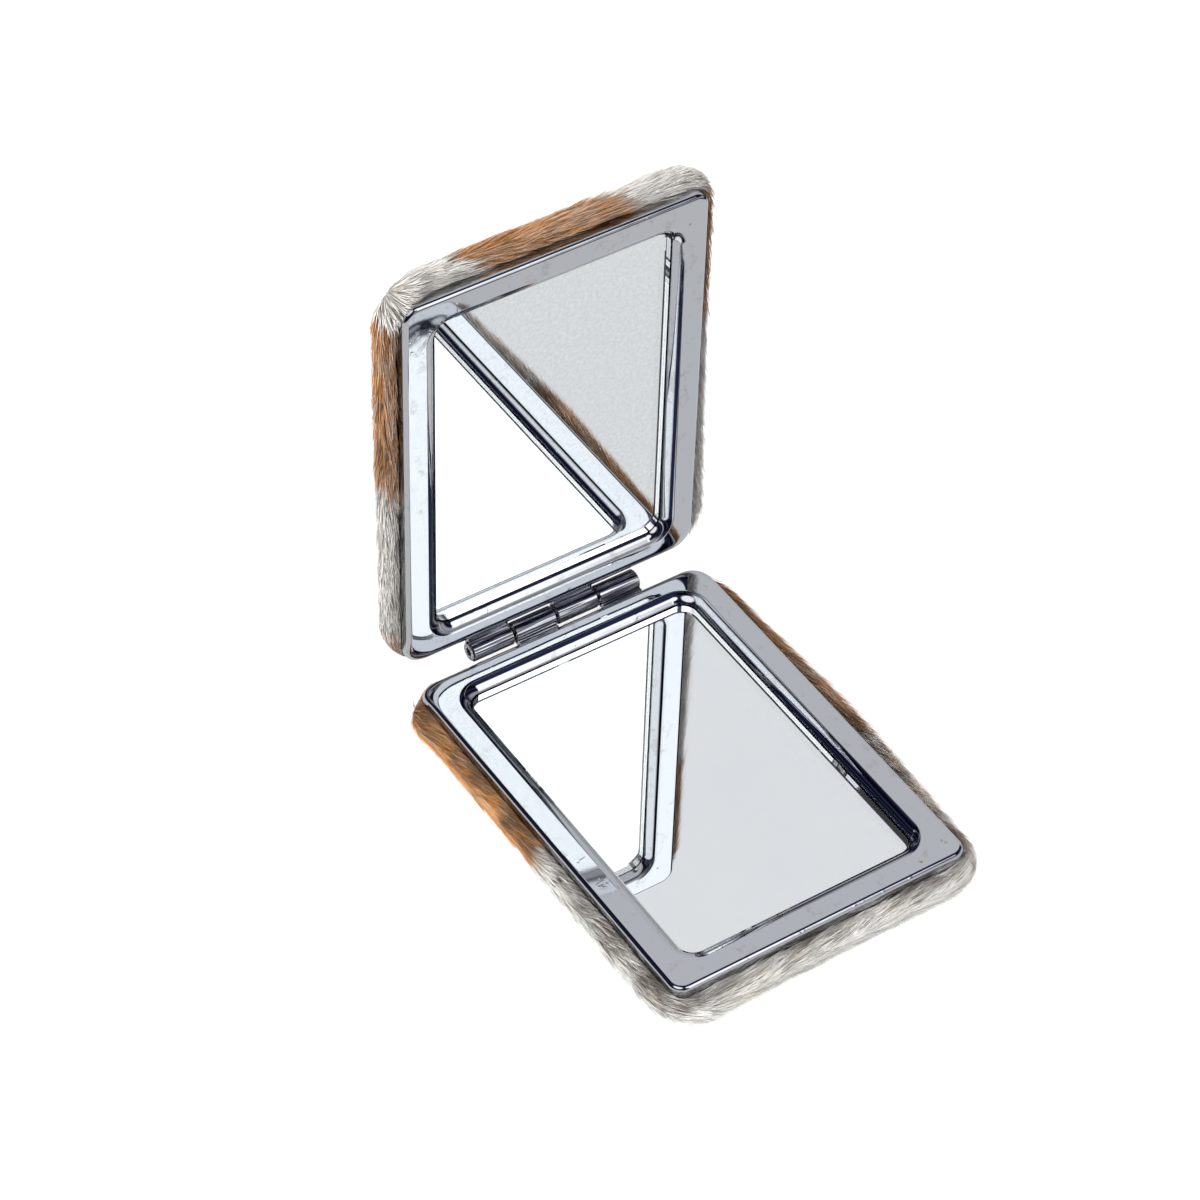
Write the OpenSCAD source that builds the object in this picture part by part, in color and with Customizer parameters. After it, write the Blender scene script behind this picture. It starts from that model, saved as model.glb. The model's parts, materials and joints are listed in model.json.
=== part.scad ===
// Compact mirror case: two chromed trays hinged together, a glass in each,
// and a padded hair-on hide back on each. Shown open at a right angle.
// X runs along the hinge, the front is towards -Y, and the base rests on Z = 0.

/* [Mirror glass] */
// Width of each glass
glass_w = 48.4; // [42:0.1:54]
// Length of each glass, from the hinge side to the front
glass_l = 71.8; // [60:0.1:82]
// Thickness of each glass
glass_t = 1.8; // [1.4:0.1:2.4]
// Plan radius of the corners of the glass
glass_corner_r = 3.1; // [2:0.1:5]
// Ground chamfer round the top edge of the glass
glass_arris = 0.2; // [0.1:0.05:0.4]
// Gap between the edge of the glass and its recess
glass_gap = 0.15; // [0.1:0.05:0.3]
// Thickness of the double-sided tape under the glass
tape_t = 0.2; // [0.1:0.05:0.4]
// Margin of the tape inside the edge of the glass
tape_margin = 1.5; // [0.5:0.1:4]

/* [Tray rim] */
// Depth of the glass below the rim
glass_sink = 1.6; // [1.2:0.1:2]
// Width of the rounded bead between rim and glass
bead_w = 2.25; // [1.8:0.05:2.8]
// Downward slope of the bead where it leaves the rim, in degrees
bead_slope = 6; // [2:1:12]
// Flat width of the rim along each side
rim_side = 3.4; // [3.2:0.1:5]
// Flat width of the rim at the front
rim_front = 3.3; // [3.2:0.1:5]
// Flat width of the rim at the hinge side
rim_back = 2.2; // [1.8:0.1:4]
// Plan radius of the front corners of the flat rim
rim_front_r = 2; // [1.5:0.1:3]
// Plan radius of the hinge side corners of the flat rim
rim_back_r = 6.5; // [4:0.1:9]
// Radius of the rounded outer edge of the rim
lip_r = 0.85; // [0.5:0.05:1.1]
// Height of the chromed wall that shows above the hide
lip_h = 2.8; // [2.4:0.1:3]
// Plan radius of the lip at its hinge side corners
lip_back_r = 3.2; // [2.6:0.1:5]
// Radius of the roll along the hinge side
roll_r = 1.85; // [1.6:0.05:2.1]

/* [Tray underside] */
// Thickness of the tray floor under the glass
floor_t = 0.8; // [0.6:0.1:1.2]
// Thickness of the wall round the glass
pan_wall = 1.2; // [1:0.1:1.5]
// Thickness of the skirt inside the padding
skirt_wall = 1.1; // [0.9:0.1:1.3]
// Step from the lip in to the skirt, where the edge of the hide sits
skirt_step = 1.15; // [1.05:0.05:1.4]
// The same step along the hinge side
skirt_step_back = 0.5; // [0.45:0.05:0.8]
// Thickness of the metal above the hollow between wall and skirt
roof_t = 2.2; // [2:0.1:2.6]

/* [Hinge] */
// Distance from the hinge axis to the back of the tray
hinge_standoff = 2.15; // [2.1:0.05:3]
// Diameter of the knuckles
barrel_d = 4; // [3.4:0.1:4.2]
// Length of the whole row of knuckles
hinge_l = 36.6; // [24:0.2:46]
// Number of knuckles, shared by the two trays
knuckle_count = 4; // [2:2:6]
// Gap between one knuckle and the next
knuckle_gap = 0.2; // [0.1:0.05:0.4]
// Chamfer round the ends of each knuckle
knuckle_edge = 0.25; // [0.1:0.05:0.4]
// Thickness of the web that joins each knuckle to its tray
web_t = 1.3; // [1:0.1:1.6]
// Depth of the web's underside below the hinge axis
web_drop = 1.75; // [1.5:0.05:1.8]
// Depth that the web reaches into the tray
web_root = 1.4; // [1:0.1:2]
// Diameter of the hinge pin
pin_d = 1.5; // [1.2:0.1:2]
// Radial running clearance of the pin in the knuckles of the lid
pin_clearance = 0.05; // [0.03:0.01:0.1]
// Depth that each end of the pin lies inside the row of knuckles
pin_recess = 0.6; // [0.2:0.1:1.5]
// Chamfer at the ends of the pin
pin_edge = 0.2; // [0.1:0.05:0.4]
// Gap between the two rims when the case is shut
closing_gap = 0.2; // [0.2:0.05:0.5]

/* [Magnets] */
// Diameter of each magnet
magnet_d = 4; // [3:0.1:4.4]
// Thickness of each magnet
magnet_t = 1.5; // [1:0.1:1.8]
// Metal left between a magnet and the face of the rim
magnet_skin = 0.8; // [0.6:0.1:1]
// Distance of each magnet's pocket inside the skirt
magnet_inset = 0.2; // [0.1:0.05:0.4]
// Gap round each magnet in its pocket
magnet_gap = 0.05; // [0.03:0.01:0.15]

/* [Padded back] */
// Depth from the rim to the crown of the hide
cover_d = 8.7; // [7.9:0.1:11]
// Depth that the crown of the base is pressed flat by what it rests on
rest_flat = 0.5; // [0.3:0.05:0.6]
// Depth from the rim to the widest level of the padding
belly_d = 4.6; // [4.3:0.05:5.4]
// Bulge of the hide beyond the lip at each side
bulge_side = 2.4; // [1.8:0.1:4]
// Bulge of the hide beyond the lip at the front
bulge_front = 2.6; // [1.8:0.1:4]
// Bulge of the hide beyond the tray at the hinge side
bulge_back = 1.95; // [1.6:0.05:2]
// Plan radius of the padding's corners at its widest level
belly_r = 8.5; // [6:0.1:12]
// Thickness of the hide without its hair
hide_t = 1; // [0.7:0.05:1.05]
// Gap between the lip and the cut edge of the hide
hide_gap = 0.1; // [0.05:0.05:0.3]
// Thickness of the adhesive sheet behind the tray
cover_tape_t = 0.15; // [0.1:0.05:0.3]
// Thickness of the board that carries the padding
board_t = 1; // [0.6:0.1:1.4]

/* [Hidden] */

$fn = 48;
// Segments of the arcs in slices that a hull joins
slice_fn = 32;
// Thickness of those slices
slice_t = 0.01;
// How far a cut runs past the face that it opens
overrun = 1;
// How far the bead's section runs into the metal
bead_root = 0.5;
// How far the cut above the bead runs past the ends of its arc
bead_run = 0.2;
// Exponent of the pillow section: 2 is an ellipse and more is fuller
pillow_power = 4;
// Angles round the section at which the pillow, the lip and the roll have a slice
upper_angles = [0, 22.5, 45, 67.5, 90];
lower_angles = [15, 30, 45, 60, 75, 87];
lip_angles = [0, 30, 60, 90];
roll_angles = [60, 75, 90];
// Share of its inset by which a slice of the pillow loses corner radius
corner_loss_share = 0.25;

// Plan of a tray, measured from the hinge axis, with the front towards -Y
recess_hw = glass_w / 2 + glass_gap;
recess_r = glass_corner_r + glass_gap;
open_hw = recess_hw + bead_w;
open_r = recess_r + bead_w;
flat_hw = open_hw + rim_side;
flat_back = -hinge_standoff - roll_reach(lip_h);
open_back = flat_back - rim_back;
recess_back = open_back - bead_w;
recess_front = recess_back - glass_l - 2 * glass_gap;
open_front = recess_front - bead_w;
flat_front = open_front - rim_front;
lip_hw = flat_hw + lip_r;
lip_front = flat_front - lip_r;
lip_back = flat_back + roll_reach(lip_h);
skirt_hw = lip_hw - skirt_step;
skirt_front = lip_front + skirt_step;
skirt_back = lip_back - skirt_step_back;
skirt_front_r = rim_front_r + lip_r - skirt_step;
skirt_back_r = lip_back_r;

// Depths below the rim
floor_top = glass_sink + glass_t + tape_t;
floor_bottom = floor_top + floor_t;
board_top = floor_bottom + cover_tape_t;
board_bottom = board_top + board_t;
cover_top = lip_h + hide_gap;
foam_top = cover_top + hide_t;

// Hinge
axis_up = closing_gap / 2;
barrel_r = barrel_d / 2;
knuckle_pitch = hinge_l / knuckle_count;
knuckle_l = knuckle_pitch - knuckle_gap;
pin_l = hinge_l - 2 * pin_recess;

// Arc of the bead, from the rim down to the edge of the recess
bead_chord = norm([bead_w, glass_sink]);
bead_half_angle = atan2(glass_sink, bead_w) - bead_slope;
bead_r = bead_chord / 2 / sin(bead_half_angle);

// Centre of each magnet, in the front corners between wall and skirt
magnet_reach = skirt_wall + magnet_inset + magnet_gap + magnet_d / 2;
magnet_x = skirt_hw - magnet_reach;
magnet_y = skirt_front + magnet_reach;

// Padding at its widest level, as the outer face of the hide
belly_hw = lip_hw + bulge_side;
belly_front = lip_front - bulge_front;
belly_back = lip_back + bulge_back;

// Place of the hinge axis when the base rests on the ground, centred fore and aft
rest_depth = cover_d - rest_flat;
hinge_z = rest_depth + axis_up;
hinge_y = -(belly_front + cover_d + axis_up) / 2;

// How far the roll has come back at a depth below the rim
function roll_reach(depth) = sqrt(pow(roll_r, 2) - pow(roll_r - min(depth, roll_r), 2));

// Outline with its own corner radii at the front and at the back
module plan(half_w, front, back, front_r, back_r) {
    polygon([
        [-half_w + front_r, front], [half_w - front_r, front],
        [half_w, front + front_r], [half_w, back - back_r],
        [half_w - back_r, back], [-half_w + back_r, back],
        [-half_w, back - back_r], [-half_w, front + front_r]]);
    for (side = [-1, 1]) {
        translate([side * (half_w - front_r), front + front_r]) circle(r = front_r);
        translate([side * (half_w - back_r), back - back_r]) circle(r = back_r);
    }
}

// Solid between two depths below the rim
module between(top, bottom) {
    translate([0, 0, -bottom]) linear_extrude(bottom - top) children();
}

// Thin slice at one depth, for a hull
module slice(depth) {
    translate([0, 0, -depth - slice_t / 2]) linear_extrude(slice_t) children();
}

// Section swept round a rounded rectangle: X of the section runs inwards from the outline
module ring(half_w, front, back, corner_r) {
    x = half_w - corner_r;
    y_front = front + corner_r;
    y_back = back - corner_r;
    corners = [[x, y_back, 0], [-x, y_back, 90], [-x, y_front, 180], [x, y_front, 270]];
    for (c = corners)
        translate([c[0], c[1], 0]) rotate([0, 0, c[2]])
            rotate_extrude(angle = 90) translate([corner_r, 0]) mirror([1, 0]) children();
    run_l = y_back - y_front;
    runs = [
        [half_w, y_back, 0, run_l], [-x, back, 90, 2 * x],
        [-half_w, y_front, 180, run_l], [x, front, 270, 2 * x]];
    for (s = runs)
        translate([s[0], s[1], 0]) rotate([0, 0, s[2]]) rotate([90, 0, 0])
            linear_extrude(s[3]) mirror([1, 0]) children();
}

// Solid of revolution along X from the origin, chamfered at both ends
module rod(r, l, edge) {
    rotate([0, 90, 0]) rotate_extrude()
        polygon([[0, 0], [r - edge, 0], [r, edge], [r, l - edge], [r - edge, l], [0, l]]);
}

// Outside of the tray from the flat rim down to the foot of its wall
module rim_shell() {
    hull() {
        for (a = lip_angles) rim_slice(lip_r * (1 - cos(a)), lip_r * sin(a));
        for (a = roll_angles) rim_slice(roll_r * (1 - cos(a)), lip_r);
        rim_slice(lip_h - slice_t / 2, lip_r);
    }
}

module rim_slice(depth, out) {
    back_share = roll_reach(depth) / roll_reach(lip_h);
    slice(max(depth, slice_t / 2))
        plan(flat_hw + out, flat_front - out, flat_back + roll_reach(depth),
            rim_front_r + out, rim_back_r + (lip_back_r - rim_back_r) * back_share, $fn = slice_fn);
}

module recess_plan() {
    plan(recess_hw, recess_front, recess_back, recess_r, recess_r);
}

module open_plan(out) {
    plan(open_hw + out, open_front - out, open_back + out, open_r + out, open_r + out);
}

module skirt_plan() {
    plan(skirt_hw, skirt_front, skirt_back, skirt_front_r, skirt_back_r);
}

// Rounded bead round the opening, run on into the metal beside and below it
module bead() {
    ring(open_hw, open_front, open_back, open_r)
        intersection() {
            translate([-bead_r * sin(bead_slope), -bead_r * cos(bead_slope)]) circle(r = bead_r);
            translate([-bead_root, -glass_sink - bead_root])
                square([bead_w + 2 * bead_root, glass_sink + 2 * bead_root]);
        }
}

// Opening in the rim with the bead left standing, a little past both ends of the bead's arc
module opening() {
    difference() {
        between(-overrun, glass_sink + bead_run) open_plan(bead_run);
        bead();
    }
}

// Hollow round the glass recess, closed above and open behind
module hollow() {
    between(roof_t, floor_bottom + overrun)
        difference() {
            plan(skirt_hw - skirt_wall, skirt_front + skirt_wall, skirt_back - skirt_wall,
                skirt_front_r, skirt_back_r - skirt_wall);
            plan(recess_hw + pan_wall, recess_front - pan_wall, recess_back + pan_wall,
                recess_r + pan_wall, recess_r + pan_wall);
        }
}

// Where each knuckle of this tray starts along X
module at_knuckles() {
    for (i = [1 : 2 : knuckle_count - 1])
        translate([-hinge_l / 2 + i * knuckle_pitch + knuckle_gap / 2, 0, axis_up]) children();
}

module knuckle() {
    rod(barrel_r, knuckle_l, knuckle_edge);
    translate([knuckle_edge, -hinge_standoff - web_root, -web_drop])
        cube([knuckle_l - 2 * knuckle_edge, hinge_standoff + web_root, web_t]);
}

// One casting serves as the tray of the base and, turned over, as that of the lid
module tray(bore_d) {
    color([0.78, 0.80, 0.83])
        difference() {
            union() {
                difference() {
                    union() {
                        rim_shell();
                        between(lip_h / 2, floor_bottom) skirt_plan();
                    }
                    opening();
                    between(glass_sink / 2, floor_top) recess_plan();
                    hollow();
                }
                at_knuckles() knuckle();
            }
            for (side = [-1, 1])
                translate([side * magnet_x, magnet_y, -floor_bottom])
                    cylinder(r = magnet_d / 2 + magnet_gap, h = floor_bottom - magnet_skin);
            translate([-hinge_l / 2 - overrun, 0, axis_up]) rotate([0, 90, 0])
                cylinder(d = bore_d, h = hinge_l + 2 * overrun);
        }
}

module glass() {
    color([0.86, 0.89, 0.91])
        translate([0, 0, -glass_sink])
            difference() {
                between(0, glass_t)
                    plan(recess_hw - glass_gap, recess_front + glass_gap, recess_back - glass_gap,
                        glass_corner_r, glass_corner_r);
                ring(recess_hw - glass_gap, recess_front + glass_gap, recess_back - glass_gap,
                    glass_corner_r)
                    polygon([[0, -glass_arris], [glass_arris, 0], [glass_arris, overrun],
                        [-overrun, overrun], [-overrun, -glass_arris]]);
            }
}

module glass_tape() {
    margin = glass_gap + tape_margin;
    color([0.93, 0.93, 0.90])
        between(glass_sink + glass_t, floor_top)
            plan(recess_hw - margin, recess_front + margin, recess_back - margin,
                glass_corner_r, glass_corner_r);
}

module magnet(side) {
    color([0.60, 0.61, 0.63])
        translate([side * magnet_x, magnet_y, -magnet_skin - magnet_t])
            cylinder(d = magnet_d, h = magnet_t);
}

module cover_tape() {
    color([0.90, 0.88, 0.80]) between(floor_bottom, board_top) skirt_plan();
}

module board() {
    color([0.55, 0.52, 0.48]) between(board_top, board_bottom) skirt_plan();
}

// Level of the pillow above its widest one: the lip's outline with a share of the bulge
module upper_slice(angle, top, skin) {
    share = sin(angle);
    start_hw = skirt_hw + hide_t - skin;
    start_front = skirt_front - hide_t + skin;
    start_back = lip_back - skin;
    start_front_r = skirt_front_r + hide_t - skin;
    start_back_r = skirt_back_r + hide_t - skin;
    depth = belly_d - (belly_d - top) * cos(angle);
    slice(depth)
        plan(start_hw + (belly_hw - skin - start_hw) * share,
            start_front + (belly_front + skin - start_front) * share,
            start_back + (belly_back - skin - start_back) * share,
            start_front_r + (belly_r - skin - start_front_r) * share,
            start_back_r + (belly_r - skin - start_back_r) * share, $fn = slice_fn);
}

// Level of the pillow below its widest one, drawn in along a full curve
module lower_slice(angle, skin) {
    half_w = belly_hw - skin;
    inset = half_w * (1 - pow(cos(angle), 2 / pillow_power));
    depth = belly_d + (cover_d - skin - belly_d) * pow(sin(angle), 2 / pillow_power);
    corner_r = (belly_r - skin) - (belly_r - skin) * corner_loss_share * inset / half_w;
    slice(depth)
        plan(half_w - inset, belly_front + skin + inset, belly_back - skin - inset,
            min(corner_r, half_w - inset), min(corner_r, half_w - inset), $fn = slice_fn);
}

// Padded form from a top level down to its crown, drawn in by a skin
module pillow(top, skin) {
    hull() {
        for (a = upper_angles) upper_slice(a, top, skin);
        for (a = lower_angles) lower_slice(a, skin);
    }
}

// Everything deeper than a level
module below(depth) {
    translate([-belly_hw - overrun, belly_front - overrun, -cover_d - overrun])
        cube([2 * (belly_hw + overrun), belly_back - belly_front + 2 * overrun,
            cover_d + overrun - depth]);
}

module foam(pressed) {
    color([0.85, 0.82, 0.55])
        difference() {
            pillow(foam_top, hide_t);
            between(cover_top, board_bottom) skirt_plan();
            below(cover_d - pressed - hide_t);
        }
}

module hide(pressed) {
    color([0.74, 0.62, 0.48])
        difference() {
            pillow(cover_top, 0);
            difference() {
                pillow(foam_top, hide_t);
                below(cover_d - pressed - hide_t);
            }
            between(cover_top - overrun, board_bottom) skirt_plan();
            below(cover_d - pressed);
        }
}

module on_base() {
    translate([0, hinge_y, hinge_z - axis_up]) children();
}

module on_lid() {
    translate([0, hinge_y, hinge_z]) rotate([-90, 0, 0]) rotate([0, 180, 0])
        translate([0, 0, -axis_up]) children();
}

module base_frame() { on_base() tray(pin_d); }
module base_mirror() { on_base() glass(); }
module base_mirror_tape() { on_base() glass_tape(); }
module base_magnet_left() { on_base() magnet(-1); }
module base_magnet_right() { on_base() magnet(1); }
module base_cover_tape() { on_base() cover_tape(); }
module base_board() { on_base() board(); }
module base_foam() { on_base() foam(rest_flat); }
module base_cover() { on_base() hide(rest_flat); }
module lid_frame() { on_lid() tray(pin_d + 2 * pin_clearance); }
module lid_mirror() { on_lid() glass(); }
module lid_mirror_tape() { on_lid() glass_tape(); }
module lid_magnet_left() { on_lid() magnet(1); }
module lid_magnet_right() { on_lid() magnet(-1); }
module lid_cover_tape() { on_lid() cover_tape(); }
module lid_board() { on_lid() board(); }
module lid_foam() { on_lid() foam(0); }
module lid_cover() { on_lid() hide(0); }

module hinge_pin() {
    color([0.55, 0.56, 0.60])
        translate([-pin_l / 2, hinge_y, hinge_z]) rod(pin_d / 2, pin_l, pin_edge);
}

base_frame();
base_mirror();
base_mirror_tape();
base_magnet_left();
base_magnet_right();
base_cover_tape();
base_board();
base_foam();
base_cover();
lid_frame();
lid_mirror();
lid_mirror_tape();
lid_magnet_left();
lid_magnet_right();
lid_cover_tape();
lid_board();
lid_foam();
lid_cover();
hinge_pin();
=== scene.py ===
# Compact mirror case, open at a right angle: two chromed trays with a glass in each, and a hair-on
# hide back on each, dressed over the frame that the CAD model gives. Sizes are in millimetres and
# angles in degrees. Each half is drawn in its half frame first, with its rim at Z = 0, its padding
# below, the hinge axis at Y = 0 and the front towards -Y.
import json
from math import acos, atan2, cos, degrees, hypot, pi, radians, sin, sqrt

import bmesh
import bpy
import numpy as np
from mathutils import Matrix, Vector

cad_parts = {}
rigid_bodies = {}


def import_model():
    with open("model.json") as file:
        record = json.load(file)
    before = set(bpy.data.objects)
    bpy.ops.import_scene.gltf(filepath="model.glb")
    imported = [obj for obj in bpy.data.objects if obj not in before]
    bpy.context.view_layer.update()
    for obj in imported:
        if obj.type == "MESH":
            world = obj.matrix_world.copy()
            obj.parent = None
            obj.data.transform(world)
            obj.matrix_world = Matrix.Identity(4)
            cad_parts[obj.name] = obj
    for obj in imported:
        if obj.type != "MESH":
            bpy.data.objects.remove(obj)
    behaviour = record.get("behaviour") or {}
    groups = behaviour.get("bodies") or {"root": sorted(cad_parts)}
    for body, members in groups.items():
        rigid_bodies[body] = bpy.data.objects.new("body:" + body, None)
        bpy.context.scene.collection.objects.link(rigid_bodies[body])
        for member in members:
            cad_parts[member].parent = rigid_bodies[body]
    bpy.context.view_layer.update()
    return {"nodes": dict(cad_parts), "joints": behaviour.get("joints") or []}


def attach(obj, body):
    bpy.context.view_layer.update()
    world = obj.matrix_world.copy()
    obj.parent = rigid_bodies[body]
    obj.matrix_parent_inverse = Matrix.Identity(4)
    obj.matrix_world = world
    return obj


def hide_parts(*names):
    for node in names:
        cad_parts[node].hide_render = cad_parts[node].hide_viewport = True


MM = 0.001

# Glass and its recess
GLASS_W = 48.4
GLASS_L = 71.8
GLASS_T = 1.8
GLASS_R = 3.1
GLASS_ARRIS = 0.2
GLASS_GAP = 0.15
SILVER_T = 0.02
TAPE_T = 0.2

# Chromed tray
GLASS_SINK = 1.6
BEAD_W = 2.25
BEAD_SLOPE = 6
RIM_SIDE = 3.4
RIM_FRONT = 3.3
RIM_BACK = 2.2
RIM_FRONT_R = 2
RIM_BACK_R = 6.5
LIP_R = 0.85
LIP_H = 2.8
LIP_BACK_R = 3.2
ROLL_R = 1.85
FLOOR_T = 0.8
PAN_WALL = 1.2
SKIRT_WALL = 1.1
SKIRT_STEP = 1.15
SKIRT_STEP_BACK = 0.5
ROOF_T = 2.2

# Hinge
HINGE_STANDOFF = 2.15
BARREL_R = 2
HINGE_L = 36.6
KNUCKLE_COUNT = 4
KNUCKLE_GAP = 0.2
KNUCKLE_EDGE = 0.3
WEB_T = 1.3
WEB_DROP = 1.75
WEB_ROOT = 1.4
PIN_R = 0.75
PIN_CLEARANCE = 0.05
AXIS_UP = 0.1

# Padded back
COVER_D = 8.7
REST_FLAT = 0.5
BELLY_D = 4.6
BULGE_SIDE = 2.4
BULGE_FRONT = 2.6
BULGE_BACK = 1.95
BELLY_R = 8.5
HIDE_T = 1
HIDE_GAP = 0.1
BOARD_BOTTOM = 5.55
PILLOW_POWER = 4
CORNER_LOSS_SHARE = 0.25
REST_TUCK = 0.45
BACK_TUCK = 0.75
COAT_H = 1.5

# Room kept between pieces
FILM_GAP = 0.01
SKIRT_GAP = 0.05
PAD_GAP = 0.05
SCALP_CLEAR = 0.06
HINGE_CLEAR = 0.08
WALL_CLEAR = 0.12
GROUND_CLEAR = 0.03

# Places in plan where the coat turns, rises or thickens
LID_WHORL = (33, -88)
LID_RAISED_CORNER = (32, -88)
BASE_FULL_CORNER = (-33, -89)
BASE_HINGE_CORNER = (-33, -1)
WHORL_R = 5
TUFTS_PER_MM = 0.33

# Points round each corner and along each straight of an outline
CORNER_STEPS = 12
LONG_STEPS = 44
CROWN_STEPS = 16
SHORT_STEPS = 30
BEAD_STEPS = 12
LIP_STEPS = 12
KNUCKLE_STEPS = 64
STRAND_STEPS = 3

# Camera, from the perspective of the photograph. The aim is a direction.
CAMERA_FROM_AXIS = (-292.6, -441.45, 531.7)
CAMERA_AIM = (0.40099, 0.58415, -0.70567)
CAMERA_ROLL = 1.89
CAMERA_LENS = 122.2

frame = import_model()
hinge = frame["joints"][0]
AXIS_Y = hinge["pos_m"][1] / MM
AXIS_Z = hinge["pos_m"][2] / MM


def roll_reach(depth):
    """How far the roll has come back at a depth below the rim."""
    return sqrt(ROLL_R**2 - (ROLL_R - min(depth, ROLL_R)) ** 2)


# Plan of a tray, from the hinge axis, with the front towards -Y
RECESS_HW = GLASS_W / 2 + GLASS_GAP
OPEN_HW = RECESS_HW + BEAD_W
FLAT_HW = OPEN_HW + RIM_SIDE
FLAT_BACK = -HINGE_STANDOFF - roll_reach(LIP_H)
OPEN_BACK = FLAT_BACK - RIM_BACK
RECESS_BACK = OPEN_BACK - BEAD_W
RECESS_FRONT = RECESS_BACK - GLASS_L - 2 * GLASS_GAP
OPEN_FRONT = RECESS_FRONT - BEAD_W
FLAT_FRONT = OPEN_FRONT - RIM_FRONT
LIP_HW = FLAT_HW + LIP_R
LIP_FRONT = FLAT_FRONT - LIP_R
LIP_BACK = FLAT_BACK + roll_reach(LIP_H)
SKIRT_HW = LIP_HW - SKIRT_STEP
SKIRT_FRONT = LIP_FRONT + SKIRT_STEP
SKIRT_BACK = LIP_BACK - SKIRT_STEP_BACK
SKIRT_FRONT_R = RIM_FRONT_R + LIP_R - SKIRT_STEP
BELLY_HW = LIP_HW + BULGE_SIDE
BELLY_FRONT = LIP_FRONT - BULGE_FRONT
BELLY_BACK = LIP_BACK + BULGE_BACK
COVER_TOP = LIP_H + HIDE_GAP
FOAM_TOP = COVER_TOP + HIDE_T
GLASS_BACK = GLASS_SINK + GLASS_T
FLOOR_TOP = GLASS_BACK + TAPE_T
FLOOR_BOTTOM = FLOOR_TOP + FLOOR_T


def on_base(points):
    """Row-frame points of the base, from half-frame points."""
    x, y, z = np.asarray(points, float).T
    return np.stack([x, AXIS_Y + y, AXIS_Z - AXIS_UP + z], axis=-1)


def on_lid(points):
    """The same for the lid, which stands upright at rest."""
    x, y, z = np.asarray(points, float).T
    return np.stack([-x, AXIS_Y - (z - AXIS_UP), AXIS_Z - y], axis=-1)


def from_base(points):
    """Half-frame points from row-frame points of the base."""
    x, y, z = np.asarray(points, float).T
    return np.stack([x, y - AXIS_Y, z - AXIS_Z + AXIS_UP], axis=-1)


def from_lid(points):
    """Half-frame points from row-frame points of the lid."""
    x, y, z = np.asarray(points, float).T
    return np.stack([-x, AXIS_Z - z, AXIS_Y - y + AXIS_UP], axis=-1)


PLACE = {"base": on_base, "lid": on_lid}
UNPLACE = {"base": from_base, "lid": from_lid}


def arc(x, y, r, start):
    """Quarter circle of points about a centre, from a start angle."""
    angles = [radians(start + 90 * i / CORNER_STEPS) for i in range(CORNER_STEPS + 1)]
    return [(x + r * cos(a), y + r * sin(a)) for a in angles]


def run(a, b, steps):
    """Points strictly between two points."""
    return [(a[0] + (b[0] - a[0]) * i / steps, a[1] + (b[1] - a[1]) * i / steps) for i in range(1, steps)]


def ring(depth, half_w, front, back, front_r, back_r, fine=False):
    """Rounded outline at a depth below the rim. A fine ring has points along its straights too."""
    corners = [
        arc(half_w - back_r, back - back_r, back_r, 0),
        arc(-half_w + back_r, back - back_r, back_r, 90),
        arc(-half_w + front_r, front + front_r, front_r, 180),
        arc(half_w - front_r, front + front_r, front_r, 270),
    ]
    points = []
    for i, corner in enumerate(corners):
        points += corner
        if fine:
            points += run(corner[-1], corners[(i + 1) % 4][0], LONG_STEPS if i % 2 else SHORT_STEPS)
    return [(x, y, -depth) for x, y in points]


def loft(rings, caps=True):
    """Vertices and faces of rings joined one to the next, closed at both ends if caps is true."""
    count = len(rings[0])
    points = [p for r in rings for p in r]
    faces = []
    for i in range(len(rings) - 1):
        for j in range(count):
            k = (j + 1) % count
            faces.append((i * count + j, i * count + k, (i + 1) * count + k, (i + 1) * count + j))
    if caps:
        faces.append(tuple(reversed(range(count))))
        faces.append(tuple((len(rings) - 1) * count + j for j in range(count)))
    return points, faces


def joined(*parts):
    """Several point and face lists as one."""
    points, faces = [], []
    for part_points, part_faces in parts:
        faces += [tuple(len(points) + v for v in face) for face in part_faces]
        points += list(part_points)
    return points, faces


def mesh_object(name, points, faces, smooth=True):
    """An object of a mesh in the row frame, its faces turned outwards."""
    mesh = bpy.data.meshes.new(name)
    mesh.from_pydata([tuple(p) for p in np.asarray(points) * MM], [], faces)
    obj = bpy.data.objects.new(name, mesh)
    bpy.context.scene.collection.objects.link(obj)
    turn_outwards(mesh)
    mesh.polygons.foreach_set("use_smooth", [smooth] * len(mesh.polygons))
    return obj


def turn_outwards(mesh):
    """Makes the faces agree and point away from the inside."""
    work = bmesh.new()
    work.from_mesh(mesh)
    bmesh.ops.recalc_face_normals(work, faces=work.faces)
    work.to_mesh(mesh)
    work.free()


def exact_flats(obj):
    """Shades flat faces flat and rounded ones round, with a sharp edge from 35 degrees."""
    obj.data.set_sharp_from_angle(angle=radians(35))
    weighted = obj.modifiers.new("Weighted normals", "WEIGHTED_NORMAL")
    weighted.keep_sharp = True
    weighted.weight = 80


# Nodes of materials and of Geometry Nodes
def linear(code):
    """A colour of three linear numbers and an alpha from its sRGB hex code."""
    parts = [int(code[i : i + 2], 16) / 255 for i in (1, 3, 5)]
    return tuple(c / 12.92 if c <= 0.04045 else ((c + 0.055) / 1.055) ** 2.4 for c in parts) + (1,)


MATH, VECTOR, NOISE = "ShaderNodeMath", "ShaderNodeVectorMath", "ShaderNodeTexNoise"
MIX, STEP, RELIEF = "ShaderNodeMix", "ShaderNodeMapRange", "ShaderNodeBump"
COLOUR = {"data_type": "RGBA"}
SMOOTH = {"interpolation_type": "SMOOTHSTEP"}


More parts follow.
